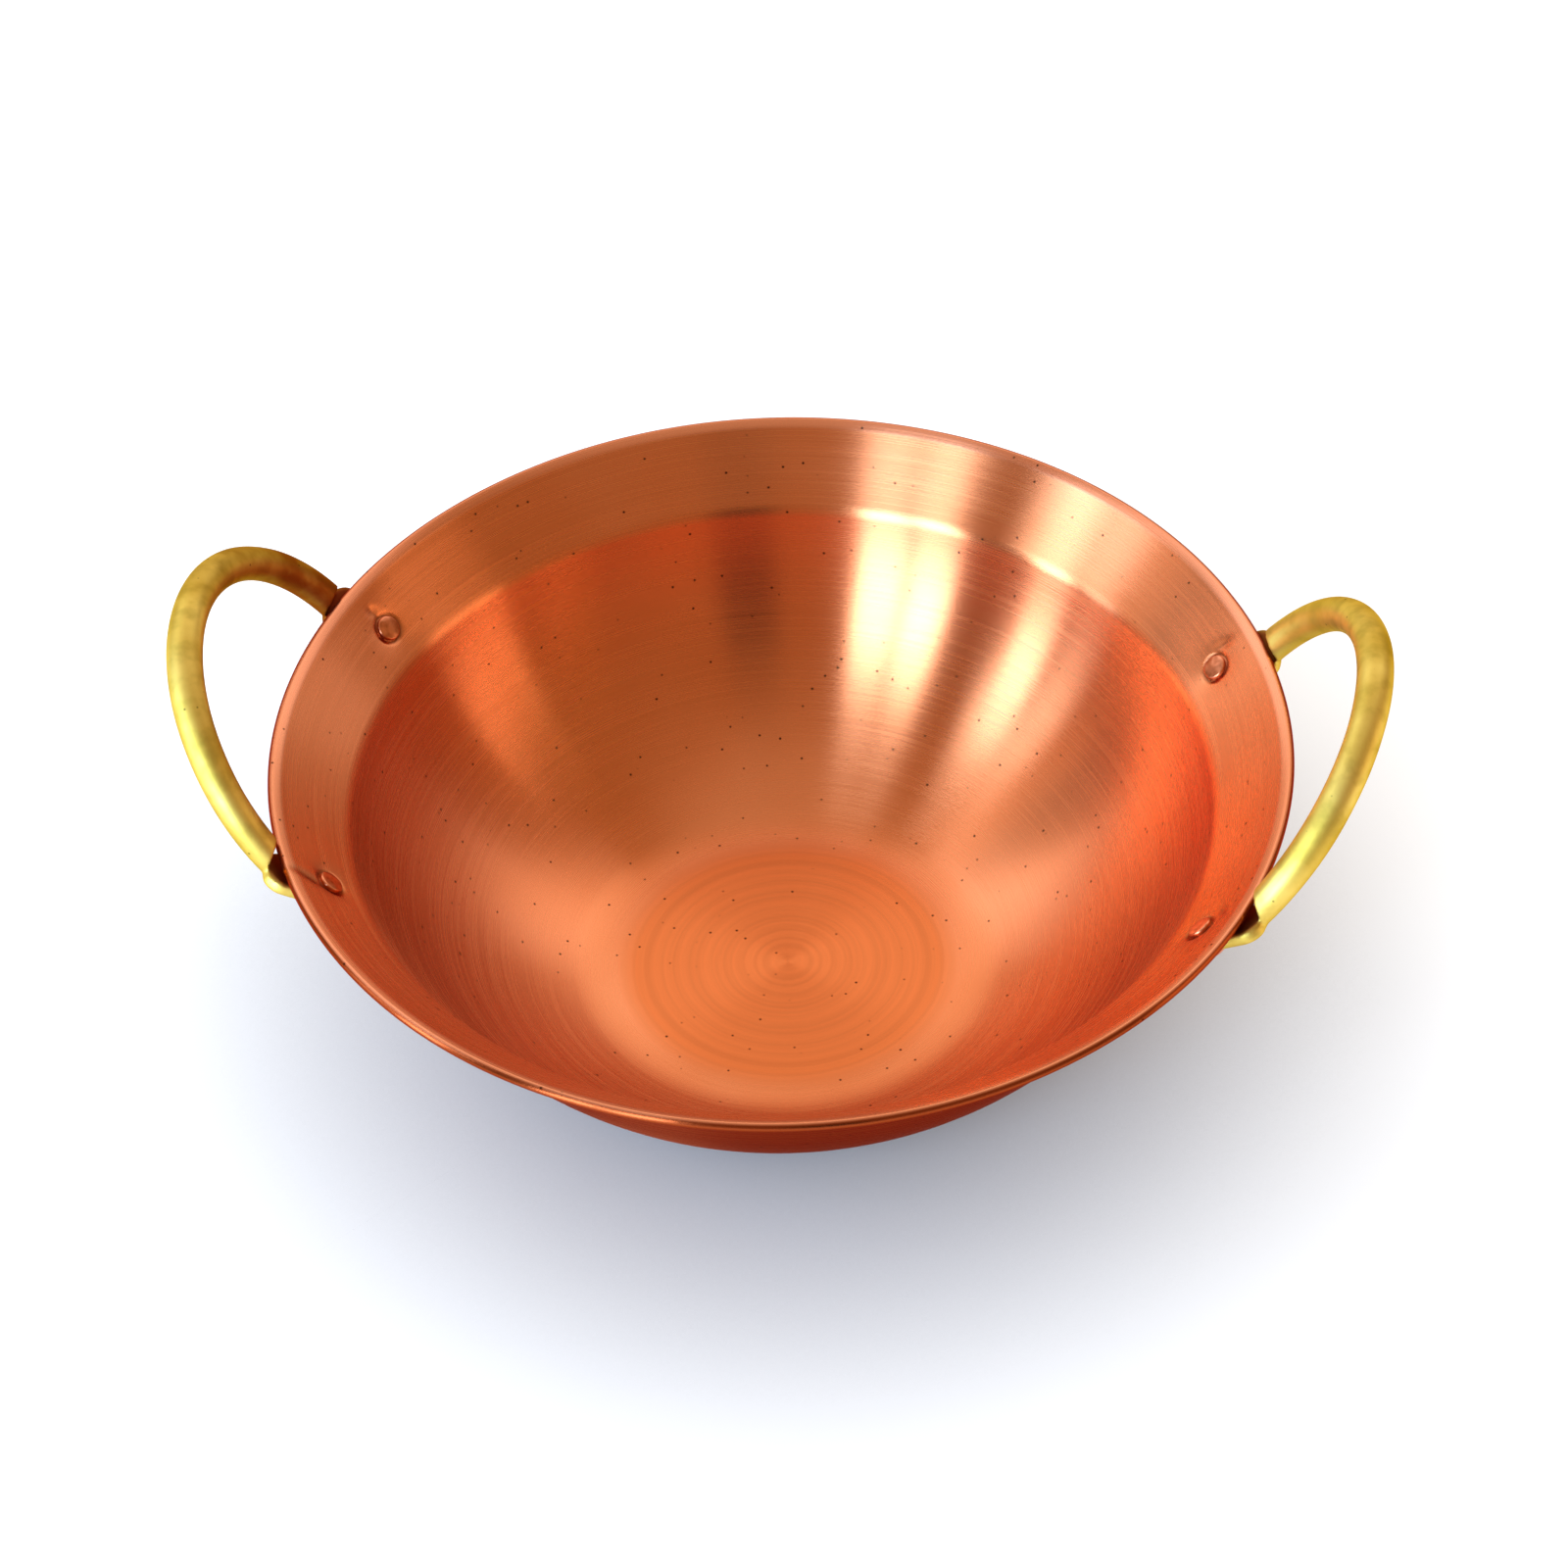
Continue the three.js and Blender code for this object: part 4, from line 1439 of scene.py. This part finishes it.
@dataclass(frozen=True)
class Studio:
    """A pale floor and the room that the metal mirrors.

    The room has panes of soft light, a bright wall behind the pot, a ceiling and a few dark strips. Lengths
    are in metres. The wall's sides are a span of the cosine to its middle, and its foot and top and the
    ceiling's edge are spans of the height on a ball round the pot.
    """

    turn: float
    floor_size: float = 40.0
    floor_colour: str = "A0A0A0"
    floor_fill: float = 0.95
    shadow_reach: float = 0.12
    shadow_depth: float = 1.3
    wall_brightness: float = 1.16
    wall_colour: str = "FFF8F0"
    wall_azimuth: float = -165.0
    wall_sides: tuple[float, float] = (0.05, 0.55)
    wall_foot: tuple[float, float] = (0.12, 0.4)
    wall_top: tuple[float, float] = (0.96, 0.76)
    ceiling_brightness: float = 0.64
    ceiling_colour: str = "FFEED8"
    ceiling_edge: tuple[float, float] = (0.84, 0.98)
    room_brightness: float = 0.36
    room_colour: str = "FFCB86"
    light_distance: float = 1.6
    windows: tuple[Window, ...] = (
        Window("near_pane_right", -34.5, -22.5, 2, 40, 18.0),
        Window("near_pane_left", -48, -36.5, 2, 40, 18.0),
        Window("far_pane_right", -78, -68, 2, 28, 19.0),
        Window("far_pane_left", -92, -82, 8, 28, 6.0),
        Window("far_pane_top", -93, -80, 30, 43, 4.6),
        Window("far_pane_top_right", -80, -67, 30, 44, 8.0),
        Window("right_pane", 72, 94, 2, 24, 1.8, "FFE8CC"),
        Window("left_wall", -150, -122, 22, 60, 0.95, "B4D6FF"),
        Window("right_wall", 118, 148, 24, 58, 0.55, "C4DEFF"),
    )
    screens: tuple[Screen, ...] = (
        Screen(-0.5, 14.5, 37, 1.0),
        Screen(-66, -49.5, 33, 0.5),
        Screen(-119, -101, 45, 0.6),
        Screen(104, 150, 20, 0.5, 8),
    )

    def aim(self, azimuth: float) -> tuple[float, float, float]:
        """Returns the level direction at a bearing from the camera, in degrees."""
        turn = self.turn + math.radians(azimuth)
        return math.sin(turn), -math.cos(turn), 0.0

    def world(self) -> None:
        """Sets the surroundings: a dim warm room with a bright wall, dark strips and a ceiling."""
        world = bpy.data.worlds.new("studio")
        world.use_nodes = True
        bpy.context.scene.world = world
        tree = world.node_tree
        way = add(tree, "ShaderNodeTexCoord").outputs["Generated"]
        height = add(tree, "ShaderNodeSeparateXYZ", {0: way}).outputs["Z"]
        flat = add(tree, "ShaderNodeVectorMath", {0: way, 1: (1, 1, 0)}, operation="MULTIPLY").outputs[0]
        level = add(tree, "ShaderNodeVectorMath", {0: flat}, operation="NORMALIZE").outputs[0]
        facing = add(tree, "ShaderNodeVectorMath", {0: level, 1: self.aim(self.wall_azimuth)},
                     operation="DOT_PRODUCT").outputs["Value"]

        # The wall has soft sides, foot and top.
        wall = 1.0
        for value, (none, full) in (
            (facing, self.wall_sides),
            (height, self.wall_foot),
            (height, self.wall_top),
        ):
            share = add(tree, "ShaderNodeMapRange", {"Value": value, FROM_LOW: none, FROM_HIGH: full},
                        interpolation_type="SMOOTHSTEP").outputs[0]
            wall = add(tree, "ShaderNodeMath", {0: wall, 1: share}, operation="MULTIPLY").outputs[0]
        light = add(tree, "ShaderNodeMapRange",
                    {"Value": wall, TO_LOW: self.room_brightness, TO_HIGH: self.wall_brightness}).outputs[0]
        colour = add(tree, "ShaderNodeMix",
                     {"Factor": wall, COLOUR_A: linear(self.room_colour),
                      COLOUR_B: linear(self.wall_colour)},
                     data_type="RGBA").outputs[COLOUR_OUT]

        # Dark strips, each by the angle to its middle and by its top
        for screen in self.screens:
            middle = self.aim((screen.start + screen.end) / 2)
            cosine = add(tree, "ShaderNodeVectorMath", {0: level, 1: middle}, operation="DOT_PRODUCT")
            away = add(tree, "ShaderNodeMath",
                       {0: cosine.outputs["Value"]}, operation="ARCCOSINE").outputs[0]
            half, blur = math.radians(screen.end - screen.start) / 2, math.radians(screen.blur)
            top = math.radians(screen.top)
            beside = add(tree, "ShaderNodeMapRange",
                         {"Value": away, FROM_LOW: half - blur, FROM_HIGH: half + blur},
                         interpolation_type="SMOOTHSTEP").outputs[0]
            over = add(tree, "ShaderNodeMapRange",
                       {"Value": height, FROM_LOW: math.sin(top - blur), FROM_HIGH: math.sin(top + blur)},
                       interpolation_type="SMOOTHSTEP").outputs[0]
            clear = add(tree, "ShaderNodeMath", {0: beside, 1: over}, operation="MAXIMUM").outputs[0]
            keep = add(tree, "ShaderNodeMapRange",
                       {"Value": clear, TO_LOW: 1 - screen.depth, TO_HIGH: 1.0}).outputs[0]
            light = add(tree, "ShaderNodeMath", {0: light, 1: keep}, operation="MULTIPLY").outputs[0]

        # The ceiling has a soft edge.
        none, full = self.ceiling_edge
        edge = add(tree, "ShaderNodeMapRange", {"Value": height, FROM_LOW: none, FROM_HIGH: full},
                   interpolation_type="SMOOTHSTEP").outputs[0]
        light = add(tree, "ShaderNodeMix",
                    {"Factor": edge, NUMBER_A: light, NUMBER_B: self.ceiling_brightness}).outputs[0]
        colour = add(tree, "ShaderNodeMix",
                     {"Factor": edge, COLOUR_A: colour, COLOUR_B: linear(self.ceiling_colour)},
                     data_type="RGBA").outputs[COLOUR_OUT]
        tree.links.new(light, tree.nodes["Background"].inputs["Strength"])
        tree.links.new(colour, tree.nodes["Background"].inputs["Color"])

    def floor(self) -> None:
        """Builds the floor.

        It glows a little for the camera and for mirrors, so that it looks white, but not close under the
        pot, where the glow would wash the shadow out.
        """
        half = self.floor_size / 2
        mesh = bpy.data.meshes.new("floor")
        corners = [(-half, -half, 0), (half, -half, 0), (half, half, 0), (-half, half, 0)]
        mesh.from_pydata(corners, [], [(0, 1, 2, 3)])
        floor = mesh_object("floor", mesh)

        # Matt paper: plain and pale, with a soft shadow
        material = bpy.data.materials.new("studio_floor")
        material.use_nodes = True
        tree = material.node_tree
        tree.nodes.remove(tree.nodes["Principled BSDF"])
        matt = add(tree, "ShaderNodeBsdfDiffuse", {"Color": linear(self.floor_colour)})
        path = add(tree, "ShaderNodeLightPath").outputs
        mirrored = add(tree, "ShaderNodeMath", {0: path["Is Glossy Ray"], 1: path["Is Transmission Ray"]},
                       operation="ADD").outputs[0]
        seen = add(tree, "ShaderNodeMath",
                   {0: path["Is Camera Ray"], 1: mirrored}, operation="ADD").outputs[0]
        covered = add(tree, "ShaderNodeAmbientOcclusion", {"Distance": self.shadow_reach}).outputs["AO"]
        open_sky = add(tree, "ShaderNodeMath",
                       {0: covered, 1: self.shadow_depth}, operation="POWER").outputs[0]
        full = add(tree, "ShaderNodeMath", {0: seen, 1: self.floor_fill}, operation="MULTIPLY").outputs[0]
        fill = add(tree, "ShaderNodeMath", {0: full, 1: open_sky}, operation="MULTIPLY").outputs[0]
        glow = add(tree, "ShaderNodeEmission", {"Strength": fill})
        both = add(tree, "ShaderNodeAddShader", {0: matt.outputs[0], 1: glow.outputs[0]})
        tree.links.new(both.outputs[0], tree.nodes["Material Output"].inputs["Surface"])
        mesh.materials.append(material)

    def build(self) -> None:
        """Builds the studio."""
        bpy.context.scene.view_settings.view_transform = "Standard"
        self.world()
        self.floor()
        for window in self.windows:
            window.build(self.turn, self.light_distance)


# How brown each handle is at its back foot: partly tarnish, partly a painted reflection of the copper
BROWN_AND_REFLECTION = {Side.LEFT: 0.6, Side.RIGHT: 0.0}


def main() -> None:
    """Builds the camera, the studio and the pot."""
    logging.basicConfig(level=logging.INFO, format="%(name)s: %(message)s")
    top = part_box("pot_bowl")[1]
    section = SheetSection(rim_radius=top.x / MM, rim_height=top.z / MM)
    seats = Seats(section)
    camera = PhotoCamera(section.rim_height)
    camera.build()
    Studio(camera.turn).build()
    bowl = Bowl(section, seats)
    bowl.build()
    brass = CastBrass().material()
    for side, browning in BROWN_AND_REFLECTION.items():
        Handle(side, seats, browning=browning).build(brass)
    Rivets(seats, bowl.dimple_depth).build()


if __name__ == "__main__":
    main()
